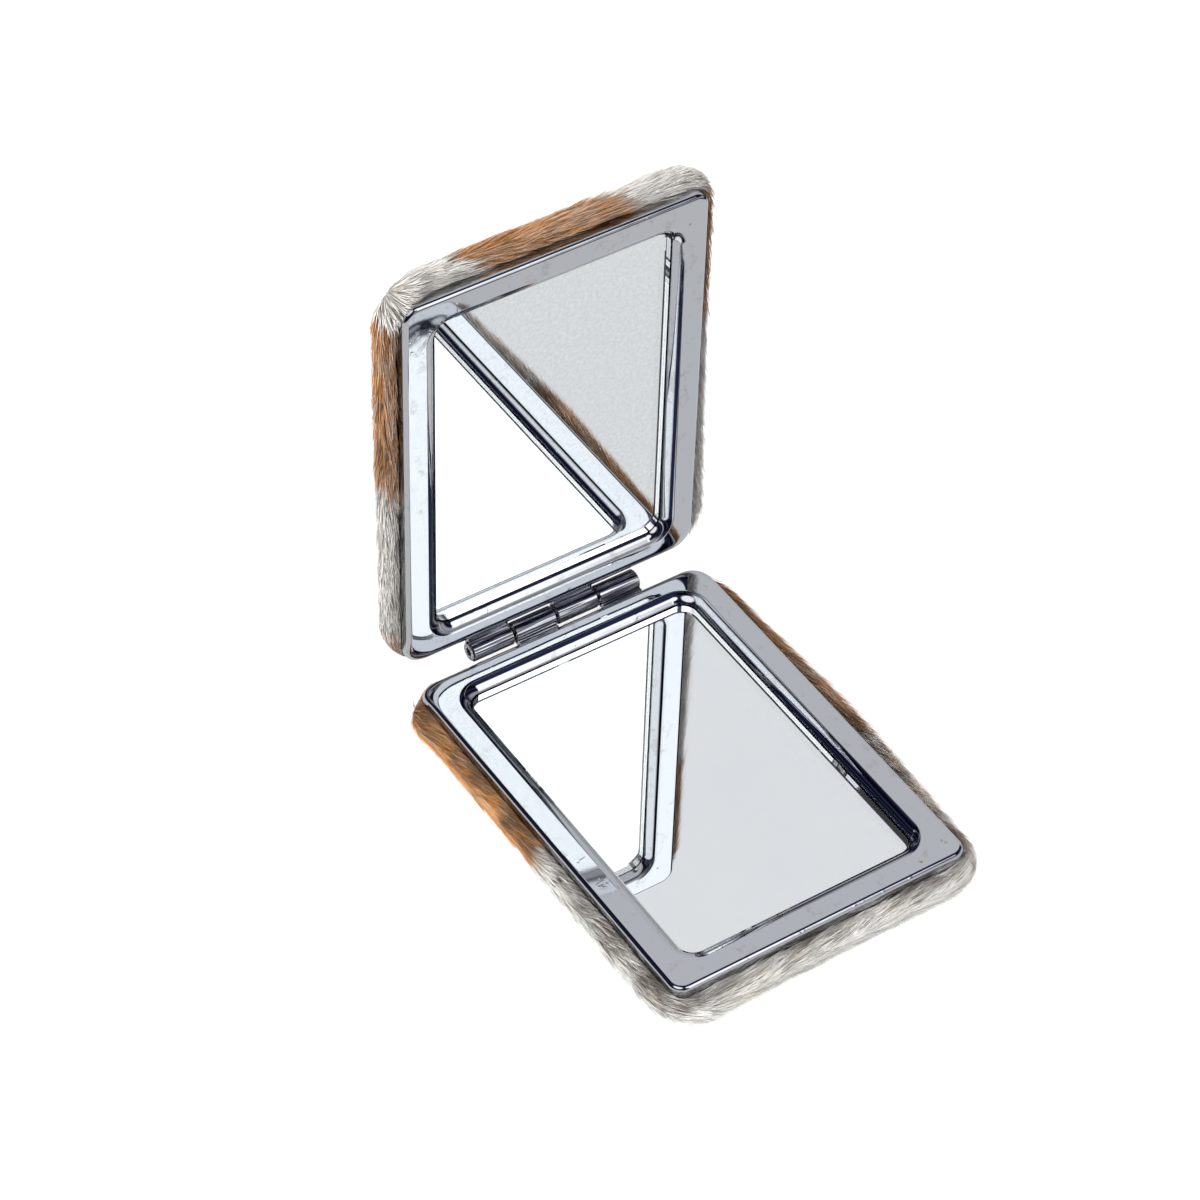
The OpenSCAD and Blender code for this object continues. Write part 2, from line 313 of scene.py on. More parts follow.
def add(tree, kind, inputs=(), out=None, **settings):
    """Adds a node with its settings, values and links.

    Inputs are in order or by key. The node comes back, or the output that out names.
    """
    node = tree.nodes.new(kind)
    for name, value in settings.items():
        setattr(node, name, value)
    for key, value in inputs.items() if isinstance(inputs, dict) else enumerate(inputs):
        if isinstance(value, bpy.types.NodeSocket):
            tree.links.new(value, node.inputs[key])
        else:
            node.inputs[key].default_value = value
    return node if out is None else node.outputs[out]


def empty_material(name):
    """A material without nodes, and its tree."""
    material = bpy.data.materials.new(name)
    material.use_nodes = True
    material.node_tree.nodes.clear()
    return material, material.node_tree


def new_material(name):
    """A material, its tree and its Principled shader, which is already its surface."""
    material, tree = empty_material(name)
    shader = add(tree, "ShaderNodeBsdfPrincipled")
    add(tree, "ShaderNodeOutputMaterial", {"Surface": shader.outputs[0]})
    return material, tree, shader


def set_input(tree, shader, name, value):
    """Gives a shader's input a value, or links a socket to it."""
    if isinstance(value, bpy.types.NodeSocket):
        tree.links.new(value, shader.inputs[name])
    else:
        shader.inputs[name].default_value = value


def spot(tree, coords, centre, r):
    """1 in a spot about a centre, ragged over 0.7 mm at its edge, and 0 outside."""
    ragged = add(tree, NOISE, {"Vector": coords, "Scale": 1.5 / MM, "Detail": 4.0, "Roughness": 0.7}, 0)
    away = add(tree, VECTOR, (coords, tuple(c * MM for c in centre)), 1, operation="DISTANCE")
    away = add(tree, MATH, (ragged, 2.4 * r * MM, away), 0, operation="MULTIPLY_ADD")
    return add(tree, STEP, (away, 1.45 * r * MM, 1.15 * r * MM), 0, **SMOOTH)


# Centre and radius of each dull mark on the rims, in the row frame
SMUDGES = [
    ((-26.6, -42.3, 8.2), 0.8),
    ((28.1, -42.5, 8.2), 2.0),
    ((21.8, -44.3, 8.2), 1.4),
    ((26.5, 40.4, 89.7), 1.2),
]


def chrome_material():
    """Bright chrome electroplated on a polished casting.

    It mirrors the room. The polishing leaves waves 11 mm long and a few dents of 2 mm, and handling
    leaves dull marks in patches of 4 mm, so a reflection is never quite straight or even.
    """
    material, tree, shader = new_material("Chrome plating")
    coords = add(tree, "ShaderNodeTexCoord").outputs["Object"]
    marks = add(tree, NOISE, {"Vector": coords, "Scale": 0.26 / MM, "Detail": 5.0, "Roughness": 0.65}, 0)
    marks = add(tree, STEP, (marks, 0.56, 0.72), 0, **SMOOTH)
    dirt = add(tree, MATH, (marks, 0.35), 0, operation="MULTIPLY")
    for centre, r in SMUDGES:
        dirt = add(tree, MATH, (dirt, spot(tree, coords, centre, r)), 0, operation="MAXIMUM")
    colour = add(tree, MIX, {0: dirt, 6: linear("#C0C3C8"), 7: linear("#958F8A")}, 2, **COLOUR)
    set_input(tree, shader, "Base Color", colour)
    set_input(tree, shader, "Metallic", 1.0)
    set_input(tree, shader, "Roughness", add(tree, MATH, (dirt, 0.22, 0.035), 0, operation="MULTIPLY_ADD"))
    waves = add(tree, NOISE, {"Vector": coords, "Scale": 0.09 / MM, "Detail": 1.0}, 0)
    dents = add(tree, NOISE, {"Vector": coords, "Scale": 0.42 / MM, "Detail": 2.0}, 0)
    dents = add(tree, STEP, (dents, 0.62, 0.74, 0.0, 0.12), 0, **SMOOTH)
    height = add(tree, MATH, (waves, dents), 0, operation="ADD")
    relief = add(tree, RELIEF, {"Height": height, "Strength": 0.14, "Distance": 0.4 * MM}, 0)
    set_input(tree, shader, "Normal", relief)
    return material


def knuckle_material():
    """Knuckles drawn to shape and then chromed.

    The drawing leaves lines along X. The bright ones keep the chrome's tone, and the chrome between
    them is tinted dark as painted shade for the dark things that the knuckles mirror. Real lines are
    finer. Here they lie 0.3 mm apart and about 15 mm long, so that they show.
    """
    material, tree, shader = new_material("Knuckle chrome with painted shade")
    coords = add(tree, "ShaderNodeTexCoord").outputs["Object"]
    stretched = add(tree, VECTOR, (coords, (0.02, 1.0, 1.0)), 0, operation="MULTIPLY")
    lines = add(tree, NOISE, {"Vector": stretched, "Scale": 3.4 / MM, "Detail": 2.0, "Roughness": 0.6}, 0)
    bright = add(tree, STEP, (lines, 0.48, 0.62), 0, **SMOOTH)
    # Painted shade: the dark tone between the bright lines stands in for dark reflections
    colour = add(tree, MIX, {0: bright, 6: linear("#585A64"), 7: linear("#D0D2D7")}, 2, **COLOUR)
    set_input(tree, shader, "Base Color", colour)
    set_input(tree, shader, "Metallic", 1.0)
    set_input(tree, shader, "Roughness", 0.08)
    relief = add(tree, RELIEF, {"Height": lines, "Strength": 0.5, "Distance": 0.1 * MM}, 0)
    set_input(tree, shader, "Normal", relief)
    return material


def glass_material():
    """Clear float glass: flat and sharp, with specks of dust 1 mm apart that dull it a little."""
    material, tree, shader = new_material("Float glass")
    set_input(tree, shader, "Base Color", linear("#FEFFFF"))
    set_input(tree, shader, "Transmission Weight", 1.0)
    set_input(tree, shader, "IOR", 1.52)
    coords = add(tree, "ShaderNodeTexCoord").outputs["Object"]
    dust = add(tree, NOISE, {"Vector": coords, "Scale": 0.9 / MM, "Detail": 3.0, "Roughness": 0.7}, 0)
    dust = add(tree, STEP, (dust, 0.70, 0.78), 0, **SMOOTH)
    set_input(tree, shader, "Roughness", add(tree, MATH, (dust, 0.05), 0, operation="MULTIPLY"))
    return material


def silver_material():
    """Silver chemically laid on the back of the glass.

    It mirrors all light. Its tone drifts over 17 mm, a haze of 0.8 mm grains thickens up the lid,
    and age leaves brown specks of 0.9 mm in clouds of 18 mm.
    """
    material, tree, shader = new_material("Mirror silvering")
    coords = add(tree, "ShaderNodeTexCoord").outputs["Object"]
    drift = add(tree, NOISE, {"Vector": coords, "Scale": 0.06 / MM, "Detail": 3.0}, 0)
    clear = add(tree, MIX, {0: drift, 6: linear("#F6F7F8"), 7: linear("#F1F3F5")}, 2, **COLOUR)
    height = add(tree, "ShaderNodeSeparateXYZ", {0: coords}).outputs[2]
    haze = add(tree, NOISE, {"Vector": coords, "Scale": 1.3 / MM, "Detail": 4.0, "Roughness": 0.75}, 0)
    haze = add(tree, STEP, (haze, 0.35, 0.65), 0, **SMOOTH)
    upper = add(tree, STEP, (height, 12 * MM, 30 * MM), 0, **SMOOTH)
    haze = add(tree, MATH, (haze, upper), 0, operation="MULTIPLY")
    clear = add(tree, MIX, {0: haze, 6: clear, 7: linear("#E6EAED")}, 2, **COLOUR)
    specks = add(tree, NOISE, {"Vector": coords, "Scale": 1.1 / MM, "Detail": 3.0, "Roughness": 0.7}, 0)
    specks = add(tree, STEP, (specks, 0.66, 0.74, 0.0, 0.35), 0, **SMOOTH)
    clouds = add(tree, NOISE, {"Vector": coords, "Scale": 0.055 / MM, "Detail": 2.0}, 0)
    clouds = add(tree, STEP, (clouds, 0.5, 0.6), 0, **SMOOTH)
    specks = add(tree, MATH, (specks, clouds), 0, operation="MULTIPLY")
    colour = add(tree, MIX, {0: specks, 6: clear, 7: linear("#CFC3B8")}, 2, **COLOUR)
    set_input(tree, shader, "Base Color", colour)
    set_input(tree, shader, "Metallic", 1.0)
    set_input(tree, shader, "Roughness", 0.0)
    return material


def plain_material(name, dark, light, per_mm, roughness, metallic=0.0):
    """A mottled material, with so many cells along a millimetre, for a piece that others hide."""
    material, tree, shader = new_material(name)
    coords = add(tree, "ShaderNodeTexCoord").outputs["Object"]
    mottle = add(tree, NOISE, {"Vector": coords, "Scale": per_mm / MM, "Detail": 4.0, "Roughness": 0.6}, 0)
    colour = add(tree, MIX, {0: mottle, 6: linear(dark), 7: linear(light)}, 2, **COLOUR)
    set_input(tree, shader, "Base Color", colour)
    matt = add(tree, MATH, (mottle, 0.15, roughness), 0, operation="MULTIPLY_ADD")
    set_input(tree, shader, "Roughness", matt)
    set_input(tree, shader, "Metallic", metallic)
    relief = add(tree, RELIEF, {"Height": mottle, "Strength": 0.3, "Distance": 0.3 * MM}, 0)
    set_input(tree, shader, "Normal", relief)
    return material


# Colours of single hairs, and of the long guard hairs
BROWN_DARK, BROWN_LIGHT, BROWN_GOLD = "#5A361C", "#CC9058", "#D8944A"
WHITE_DARK, WHITE_LIGHT, WHITE_CREAM = "#B8B7B3", "#ECEBE8", "#DDD1BC"
GUARD = "#F2ECE2"


def hair_colours(tree, root, guard):
    """Colour of each hair: brown and golden patches on a white, cream and grey coat.

    Each hair has its own tone. The tone drifts over 6 mm as well, painted shade darkens the gaps
    between locks about 1.2 mm apart, and the long guard hairs are paler.
    """
    patch = add(tree, "ShaderNodeAttribute", attribute_name="tint").outputs["Fac"]
    each = add(tree, "ShaderNodeTexWhiteNoise", {"Vector": root}).outputs["Value"]
    broad = add(tree, NOISE, {"Vector": root, "Scale": 0.17 / MM, "Detail": 3.0, "Roughness": 0.6}, 0)
    share = add(tree, MATH, (broad, 0.5, -0.25), 0, operation="MULTIPLY_ADD")
    own = add(tree, MATH, (each, 0.3, -0.15), 0, operation="MULTIPLY_ADD")
    share = add(tree, MATH, (share, own), 0, operation="ADD")
    share = add(tree, MATH, (share, patch), 0, operation="ADD")
    share = add(tree, STEP, (share, 0.38, 0.62), 0, **SMOOTH)
    brown = add(tree, MIX, {0: each, 6: linear(BROWN_DARK), 7: linear(BROWN_LIGHT)}, 2, **COLOUR)
    drifts = add(tree, STEP, (broad, 0.45, 0.7, 0.0, 0.35), 0, **SMOOTH)
    golden = add(tree, STEP, (patch, 1.0, 1.5, 0.0, 0.75), 0, **SMOOTH)
    golden = add(tree, MATH, (drifts, golden), 0, operation="MAXIMUM")
    brown = add(tree, MIX, {0: golden, 6: brown, 7: linear(BROWN_GOLD)}, 2, **COLOUR)
    pale = add(tree, MIX, {0: each, 6: linear(WHITE_DARK), 7: linear(WHITE_LIGHT)}, 2, **COLOUR)
    creamy = add(tree, STEP, (broad, 0.5, 0.75, 0.0, 0.5), 0, **SMOOTH)
    pale = add(tree, MIX, {0: creamy, 6: pale, 7: linear(WHITE_CREAM)}, 2, **COLOUR)
    coat = add(tree, MIX, {0: share, 6: pale, 7: brown}, 2, **COLOUR)
    # Painted shade between locks of hair, about 1.2 mm apart
    lock_gap_shade = add(tree, NOISE, {"Vector": root, "Scale": 0.8 / MM, "Detail": 2.0}, 0)
    lock_gap_shade = add(tree, STEP, (lock_gap_shade, 0.30, 0.52, 0.45, 0.0), 0, **SMOOTH)
    coat = add(tree, MIX, {0: lock_gap_shade, 6: coat, 7: linear("#50473F")}, 2, **COLOUR)
    paler = add(tree, MATH, (guard, 0.35), 0, operation="MULTIPLY")
    return add(tree, MIX, {0: paler, 6: coat, 7: linear(GUARD)}, 2, **COLOUR)


def hair_material():
    """Hair of a tanned hair-on hide: smooth, so it shines along each strand.

    Its colour carries painted shade: darker at its root, where no light reaches, and under the
    tray's lip, there in patches of 2.4 mm.
    """
    material, tree, shader = new_material("Hair of the hide")
    root = add(tree, "ShaderNodeAttribute", attribute_name="root").outputs["Vector"]
    along = add(tree, "ShaderNodeAttribute", attribute_name="along").outputs["Fac"]
    guard = add(tree, "ShaderNodeAttribute", attribute_name="guard").outputs["Fac"]
    colour = hair_colours(tree, root, guard)
    # Painted shade under the lip, uneven in patches of 2.4 mm
    edge = add(tree, "ShaderNodeAttribute", attribute_name="edge").outputs["Fac"]
    uneven = add(tree, NOISE, {"Vector": root, "Scale": 0.42 / MM, "Detail": 2.0}, 0)
    uneven = add(tree, STEP, (uneven, 0.35, 0.6, 0.15, 0.85), 0, **SMOOTH)
    shaded = add(tree, MATH, (edge, uneven), 0, operation="MULTIPLY")
    colour = add(tree, MIX, {0: shaded, 6: colour, 7: linear("#4A3F36")}, 2, **COLOUR)
    # Painted shade at the root of each hair, fading out over the first 55 % of its length
    dark = add(tree, MIX, {0: 0.7, 6: colour, 7: linear("#33271F")}, 2, **COLOUR)
    open_air = add(tree, STEP, (along, 0.0, 0.55), 0, **SMOOTH)
    colour = add(tree, MIX, {0: open_air, 6: dark, 7: colour}, 2, **COLOUR)
    set_input(tree, shader, "Base Color", colour)
    set_input(tree, shader, "Roughness", 0.42)
    set_input(tree, shader, "Specular IOR Level", 0.45)
    return material


def skin_material():
    """Tanned skin under the hair: matt, and toned as the hair over it but darker, as painted shade
    of the roots that gaps in the coat show.

    Its grain is finer than the 0.7 mm drawn here, which is as coarse as it needs to show.
    """
    material, tree, shader = new_material("Tanned hide")
    coords = add(tree, "ShaderNodeTexCoord").outputs["Object"]
    grain = add(tree, NOISE, {"Vector": coords, "Scale": 1.4 / MM, "Detail": 3.0, "Roughness": 0.6}, 0)
    patch = add(tree, "ShaderNodeAttribute", attribute_name="tint").outputs["Fac"]
    # Darker than the hair over it: painted shade of the roots
    brown = add(tree, MIX, {0: grain, 6: linear("#3F2A1A"), 7: linear("#7A5230")}, 2, **COLOUR)
    pale = add(tree, MIX, {0: grain, 6: linear("#6F6A62"), 7: linear("#A9A59C")}, 2, **COLOUR)
    patch = add(tree, STEP, (patch, 0.3, 0.7), 0, **SMOOTH)
    colour = add(tree, MIX, {0: patch, 6: pale, 7: brown}, 2, **COLOUR)
    set_input(tree, shader, "Base Color", colour)
    set_input(tree, shader, "Roughness", 0.8)
    relief = add(tree, RELIEF, {"Height": grain, "Strength": 0.5, "Distance": 0.2 * MM}, 0)
    set_input(tree, shader, "Normal", relief)
    return material


# Chromed trays
def tray_rings():
    """Rings of a tray from the floor of its recess, over bead, rim and wall, to the underside."""
    recess_r = GLASS_R + GLASS_GAP
    open_r = recess_r + BEAD_W
    ledge = 0.05
    rings = [
        ring(FLOOR_TOP, RECESS_HW, RECESS_FRONT, RECESS_BACK, recess_r, recess_r),
        ring(GLASS_SINK + ledge, RECESS_HW, RECESS_FRONT, RECESS_BACK, recess_r, recess_r),
    ]
    half_angle = degrees(atan2(GLASS_SINK, BEAD_W)) - BEAD_SLOPE
    bead_r = hypot(BEAD_W, GLASS_SINK) / 2 / sin(radians(half_angle))
    for i in range(BEAD_STEPS + 1):
        angle = radians(BEAD_SLOPE + 2 * half_angle * (1 - i / BEAD_STEPS))
        inset = bead_r * (sin(angle) - sin(radians(BEAD_SLOPE)))
        depth = bead_r * (cos(radians(BEAD_SLOPE)) - cos(angle))
        r = open_r - inset
        rings.append(ring(depth, OPEN_HW - inset, OPEN_FRONT + inset, OPEN_BACK - inset, r, r))
    depths = [LIP_R * (1 - cos(radians(90 * i / LIP_STEPS))) for i in range(LIP_STEPS + 1)]
    rest_of_roll = (63, 70, 77, 84, 90)
    depths += [ROLL_R * (1 - cos(radians(a))) for a in rest_of_roll] + [LIP_H]
    for depth in depths:
        angle = acos(1 - min(depth, LIP_R) / LIP_R)
        out = LIP_R * sin(angle)
        back_r = RIM_BACK_R + (LIP_BACK_R - RIM_BACK_R) * roll_reach(depth) / roll_reach(LIP_H)
        back = FLAT_BACK + roll_reach(depth)
        rings.append(ring(depth, FLAT_HW + out, FLAT_FRONT - out, back, RIM_FRONT_R + out, back_r))
    skirt = (SKIRT_HW, SKIRT_FRONT, SKIRT_BACK, SKIRT_FRONT_R, LIP_BACK_R)
    inner = (
        SKIRT_HW - SKIRT_WALL, SKIRT_FRONT + SKIRT_WALL, SKIRT_BACK - SKIRT_WALL,
        SKIRT_FRONT_R, LIP_BACK_R - SKIRT_WALL,
    )
    pan_r = recess_r + PAN_WALL
    pan = (RECESS_HW + PAN_WALL, RECESS_FRONT - PAN_WALL, RECESS_BACK + PAN_WALL, pan_r, pan_r)
    rings += [ring(LIP_H, *skirt), ring(FLOOR_BOTTOM, *skirt)]
    rings += [ring(FLOOR_BOTTOM, *inner), ring(ROOF_T, *inner)]
    return rings + [ring(ROOF_T, *pan), ring(FLOOR_BOTTOM, *pan)]


def knuckle(start, length, bore_r):
    """A hinge knuckle with its bore, from a place along the axis."""
    edge = KNUCKLE_EDGE
    profile = [
        (bore_r, 0), (BARREL_R - edge, 0), (BARREL_R, edge), (BARREL_R, length - edge),
        (BARREL_R - edge, length), (bore_r, length),
    ]
    points = []
    for i in range(KNUCKLE_STEPS):
        angle = 2 * pi * i / KNUCKLE_STEPS
        points += [(start + x, r * cos(angle), AXIS_UP + r * sin(angle)) for r, x in profile]
    count = len(profile)
    faces = []
    for i in range(KNUCKLE_STEPS):
        for j in range(count):
            k, m = (j + 1) % count, (i + 1) % KNUCKLE_STEPS
            faces.append((i * count + j, i * count + k, m * count + k, m * count + j))
    return points, faces


def web(start, length):
    """The web that joins a knuckle to its tray, with its long edges eased."""
    ease = 0.25
    top, low = AXIS_UP - WEB_DROP + WEB_T, AXIS_UP - WEB_DROP
    y = -HINGE_STANDOFF - WEB_ROOT
    section = [(y, low), (y, top), (-ease, top), (0, top - ease), (0, low + ease), (-ease, low)]
    ends = (start + KNUCKLE_EDGE, start + length - KNUCKLE_EDGE)
    points = [(x, y, z) for x in ends for y, z in section]
    count = len(section)
    faces = [(j, (j + 1) % count, count + (j + 1) % count, count + j) for j in range(count)]
    faces += [tuple(range(count)), tuple(count + j for j in reversed(range(count)))]
    return points, faces


def build_tray(body, bore_r, chrome, knuckle_chrome_painted_dark):
    """The chromed tray of a body, with its knuckles."""
    parts = [loft(tray_rings())]
    tray_faces = len(parts[0][1])
    pitch = HINGE_L / KNUCKLE_COUNT
    for i in range(1, KNUCKLE_COUNT, 2):
        start = -HINGE_L / 2 + i * pitch + KNUCKLE_GAP / 2
        parts.append(knuckle(start, pitch - KNUCKLE_GAP, bore_r))
        parts.append(web(start, pitch - KNUCKLE_GAP))
    points, faces = joined(*parts)
    tray = mesh_object(body + "_tray", PLACE[body](points), faces)
    exact_flats(tray)
    tray.data.materials.append(chrome)
    tray.data.materials.append(knuckle_chrome_painted_dark)
    for face in tray.data.polygons[tray_faces:]:
        face.material_index = 1
    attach(tray, body)
    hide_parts(body + "_frame")


# Glasses
def glass_ring(depth, inset=0.0):
    """Outline of the glass at a depth, drawn in by an inset."""
    r = GLASS_R - inset
    half_w = RECESS_HW - GLASS_GAP - inset
    return ring(depth, half_w, RECESS_FRONT + GLASS_GAP + inset, RECESS_BACK - GLASS_GAP - inset, r, r)


def build_glass(body, glass, silver):
    """The glass of a body and the silver film behind it."""
    back = GLASS_BACK - SILVER_T - 2 * FILM_GAP
    film_inset = 0.02
    slab = loft([
        glass_ring(back), glass_ring(GLASS_SINK + GLASS_ARRIS), glass_ring(GLASS_SINK, GLASS_ARRIS),
    ])
    pane = mesh_object(body + "_glass", PLACE[body](slab[0]), slab[1], smooth=False)
    pane.data.materials.append(glass)
    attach(pane, body)
    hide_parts(body + "_mirror")
    film_top = back + FILM_GAP
    sheet = loft([glass_ring(film_top + SILVER_T, film_inset), glass_ring(film_top, film_inset)])
    film = mesh_object(body + "_silver_film", PLACE[body](sheet[0]), sheet[1], smooth=False)
    film.data.materials.append(silver)
    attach(film, body)


def rows(items, name):
    """A vector of each vertex or face of a mesh, such as its normal, a row each."""
    values = np.zeros(len(items) * 3)
    items.foreach_get(name, values)
    return values.reshape(-1, 3)


def store(mesh, name, values, kind="FLOAT"):
    """Gives the points of a mesh a named attribute."""
    data = mesh.attributes.new(name, kind, "POINT").data
    data.foreach_set("vector" if kind == "FLOAT_VECTOR" else "value", np.ravel(values))


# Padded backs
def upper_ring(angle, top, within, tuck_back):
    """Level of the pillow above its widest one, so far within the hide's outer face."""
    share = sin(radians(angle))
    start = (
        SKIRT_HW + HIDE_T - within, SKIRT_FRONT - HIDE_T + within, LIP_BACK - within,
        SKIRT_FRONT_R + HIDE_T - within, LIP_BACK_R + HIDE_T - within,
    )
    end = (
        BELLY_HW - within, BELLY_FRONT + within, BELLY_BACK - within - tuck_back,
        BELLY_R - within, BELLY_R - within,
    )
    depth = BELLY_D - (BELLY_D - top) * cos(radians(angle))
    return ring(depth, *[a + (b - a) * share for a, b in zip(start, end)], fine=True)


def lower_ring(angle, within, tuck_back, floor):
    """Level of the pillow below its widest one, no deeper than a floor."""
    half_w = BELLY_HW - within
    inset = half_w * (1 - cos(radians(angle)) ** (2 / PILLOW_POWER))
    depth = BELLY_D + (COVER_D - within - BELLY_D) * sin(radians(angle)) ** (2 / PILLOW_POWER)
    depth = min(depth, floor - within)
    r = (BELLY_R - within) * (1 - CORNER_LOSS_SHARE * inset / half_w)
    front, back = BELLY_FRONT + within + inset, BELLY_BACK - within - tuck_back - inset
    return ring(depth, half_w - inset, front, back, r, r, fine=True)


UPPER_ANGLES = (0, 15, 30, 45, 60, 75, 90)
LOWER_ANGLES = (4, 9, 15, 22, 30, 38, 46, 54, 62, 69, 75, 80, 84, 87)


def pillow_rings(top, within, floor):
    """Rings of the padded form from its top level to its crown."""
    rings = [upper_ring(a, top, within, BACK_TUCK) for a in UPPER_ANGLES]
    return rings + [lower_ring(a, within, BACK_TUCK, floor) for a in LOWER_ANGLES]


def crown_rings(edge):
    """Rings that fill the flat crown, from its edge to a point."""
    edge = np.asarray(edge)
    middle = edge.mean(axis=0)
    return [middle + (edge - middle) * share for share in np.linspace(1, 0.02, CROWN_STEPS)[1:]]


def skirt_ring(depth):
    """Outline just outside the tray's skirt, where hide and foam end."""
    return ring(
        depth, SKIRT_HW + SKIRT_GAP, SKIRT_FRONT - SKIRT_GAP, SKIRT_BACK + SKIRT_GAP,
        SKIRT_FRONT_R + SKIRT_GAP, LIP_BACK_R + SKIRT_GAP, fine=True,
    )


def swollen(body, points):
    """Outline points of a hide, drawn out a little where its stuffing bulges more on one side."""
    x, y, z = np.asarray(points, float).T
    if body == "base":
        right, left = 0.35 + 1.3 * bump_of(AXIS_Y + y, -5, 26), 1.5 * bump_of(y, -2, 6)
    else:
        right, left = 0, 0.2 + 0.9 * soft_step(y - AXIS_Z, -45, 50) + 0.9 * bump_of(y, -3, 7)
    swell = np.where(x > 0, right, left)
    share = np.clip((-z - COVER_TOP) / (BELLY_D - COVER_TOP), 0, 1)
    return np.stack([x * (1 + swell * share / BELLY_HW), y, z], axis=-1)


def build_padding(body, floor, skin, foam):
    """The hide and the foam under it, and the rings of the hide's outer face, on which hair grows."""
    outer = pillow_rings(COVER_TOP, 0, floor)
    outer += crown_rings(outer[-1])
    outer = [swollen(body, points) for points in outer]
    inner = pillow_rings(FOAM_TOP, HIDE_T, floor)
    hide_rings = list(reversed(inner)) + [skirt_ring(FOAM_TOP), skirt_ring(COVER_TOP)] + outer
    points, faces = loft(hide_rings)
    hide = mesh_object(body + "_hide", points, faces)
    half = np.asarray(points)
    store(hide.data, "tint", TINT[body](half, side_shares(rows(hide.data.vertices, "normal"))))
    hide.data.vertices.foreach_set("co", (PLACE[body](half) * MM).ravel())
    hide.data.materials.append(skin)
    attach(hide, body)
    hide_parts(body + "_cover")
    pad_rings = [skirt_ring(BOARD_BOTTOM + PAD_GAP), skirt_ring(FOAM_TOP + PAD_GAP)]
    pad_rings += pillow_rings(FOAM_TOP + PAD_GAP, HIDE_T + PAD_GAP, floor)
    points, faces = loft(pad_rings)
    pad = mesh_object(body + "_foam_pad", PLACE[body](points), faces)
    pad.data.materials.append(foam)
    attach(pad, body)
    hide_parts(body + "_foam")
    return outer


# Hair
def soft_step(value, edge, width):
    """0 below an edge and 1 above it, over a width."""
    t = np.clip((value - edge) / width + 0.5, 0, 1)
    return t * t * (3 - 2 * t)


def bump_of(value, centre, width):
    """1 at a centre, falling off smoothly over a width."""
    return np.exp(-(((value - centre) / width) ** 2))


def away_from(place, half):
    """Distance in plan of each point from a place."""
    return np.hypot(half[:, 0] - place[0], half[:, 1] - place[1])


def side_shares(normal):
    """Shares of left, right, front, hinge side and crown at each point, from its normal in the half frame."""
    across = np.maximum(np.hypot(normal[:, 0], normal[:, 1]), 1e-6)
    crown = soft_step(-normal[:, 2], 0.86, 0.2)
    x, y = normal[:, 0] / across, normal[:, 1] / across
    sides = [np.clip(-x, 0, 1) ** 2, np.clip(x, 0, 1) ** 2, np.clip(-y, 0, 1) ** 2, np.clip(y, 0, 1) ** 2]
    return [share * (1 - crown) for share in sides] + [crown]


def base_flow(half, shares):
    """Direction in which the hair of the base lies, in the half frame."""
    left, right, front, back, crown = [share[:, None] for share in shares]
    tuft = 0.5 * np.sin(half[:, :1] / 3.1) + 0.3 * np.sin(half[:, :1] / 1.3 + half[:, 1:2])
    return (
        left * (0.35, -1, 0.18) + right * (0.0, -0.9, -0.45) + front * ((0.9, 0, 0.35) + tuft * (0, 0, 0.35))
        + back * (0.8, 0, -0.5) + crown * (0.15, -1, 0)
    )


def lid_flow(half, shares):
    """The same for the lid: away from a whorl at the front corner of its left side."""
    left, right, front, back, crown = [share[:, None] for share in shares]
    parting = np.tanh((-half[:, 2:3] - 4.6) / 0.9)
    fan = soft_step(half[:, 0:1], 4, 30)
    side = np.concatenate([np.zeros_like(parting), np.ones_like(parting), -0.22 * parting], axis=1)
    top = np.concatenate([-np.ones_like(parting), -0.05 * parting, -0.28 * parting * fan], axis=1)
    whorl = bump_of(away_from(LID_WHORL, half), 0, WHORL_R)[:, None]
    side = side + whorl * (0, 0, 0.9)
    top = top + whorl * (0, 0, 0.9)
    return right * side + left * (0, 1, -0.1) + front * top + back * (-0.6, 0, -0.4) + crown * (-0.35, 1, 0)


def wander(a, b):
    """A smooth uneven wave over two coordinates, within 1.8 either way: 26, 14 and 7 mm long."""
    long_wave = np.sin(a / 4.1 + 1.3 * np.sin(b / 5.7))
    return long_wave + 0.5 * np.sin(b / 2.3 + a / 3.1) + 0.3 * np.sin(a / 1.1 - b / 1.7)


def base_tint(half, shares):
    """Share of brown in the hair of the base, above 1 where it turns golden."""
    left, right, front, back, crown = shares
    y = half[:, 1] + AXIS_Y + 1.6 * wander(half[:, 0] + half[:, 2], half[:, 2] * 2 + half[:, 1])
    streaks = 0.40 + 0.06 * np.sin(half[:, 1] / 0.7 + half[:, 2])
    tint = 1.5 * left * soft_step(y, -2, 9) + right * np.maximum(soft_step(y, -8, 9), streaks)
    return tint + back * 0.75 + front * 0.08 + crown * soft_step(y + 8 * np.sin(half[:, 0] / 9), 5, 8)


def lid_tint(half, shares):
    """Share of brown in the hair of the lid."""
    left, right, front, back, crown = shares
    x, z = -half[:, 0], AXIS_Z - half[:, 1]
    uneven = 1.5 * wander(x, z)
    lean = (half[:, 2] + 5.5) * 1.6
    band = soft_step(x + uneven, -20 + lean, 6) * (1 - soft_step(x + uneven, 12 + lean, 6))
    saddle = 1 - soft_step(np.hypot((x + 3) / 19, (z - 92) / 30) + 0.09 * uneven, 1, 0.25)
    outside_whorl = soft_step(away_from(LID_WHORL, half), 4, 5)
    right_side = soft_step(z + uneven, 54, 8) * outside_whorl + 0.5 * (1 - soft_step(z, 20, 6))
    tint = right * right_side + left * soft_step(z + uneven, 68, 8) + front * band + back * 0.5
    return tint + crown * saddle


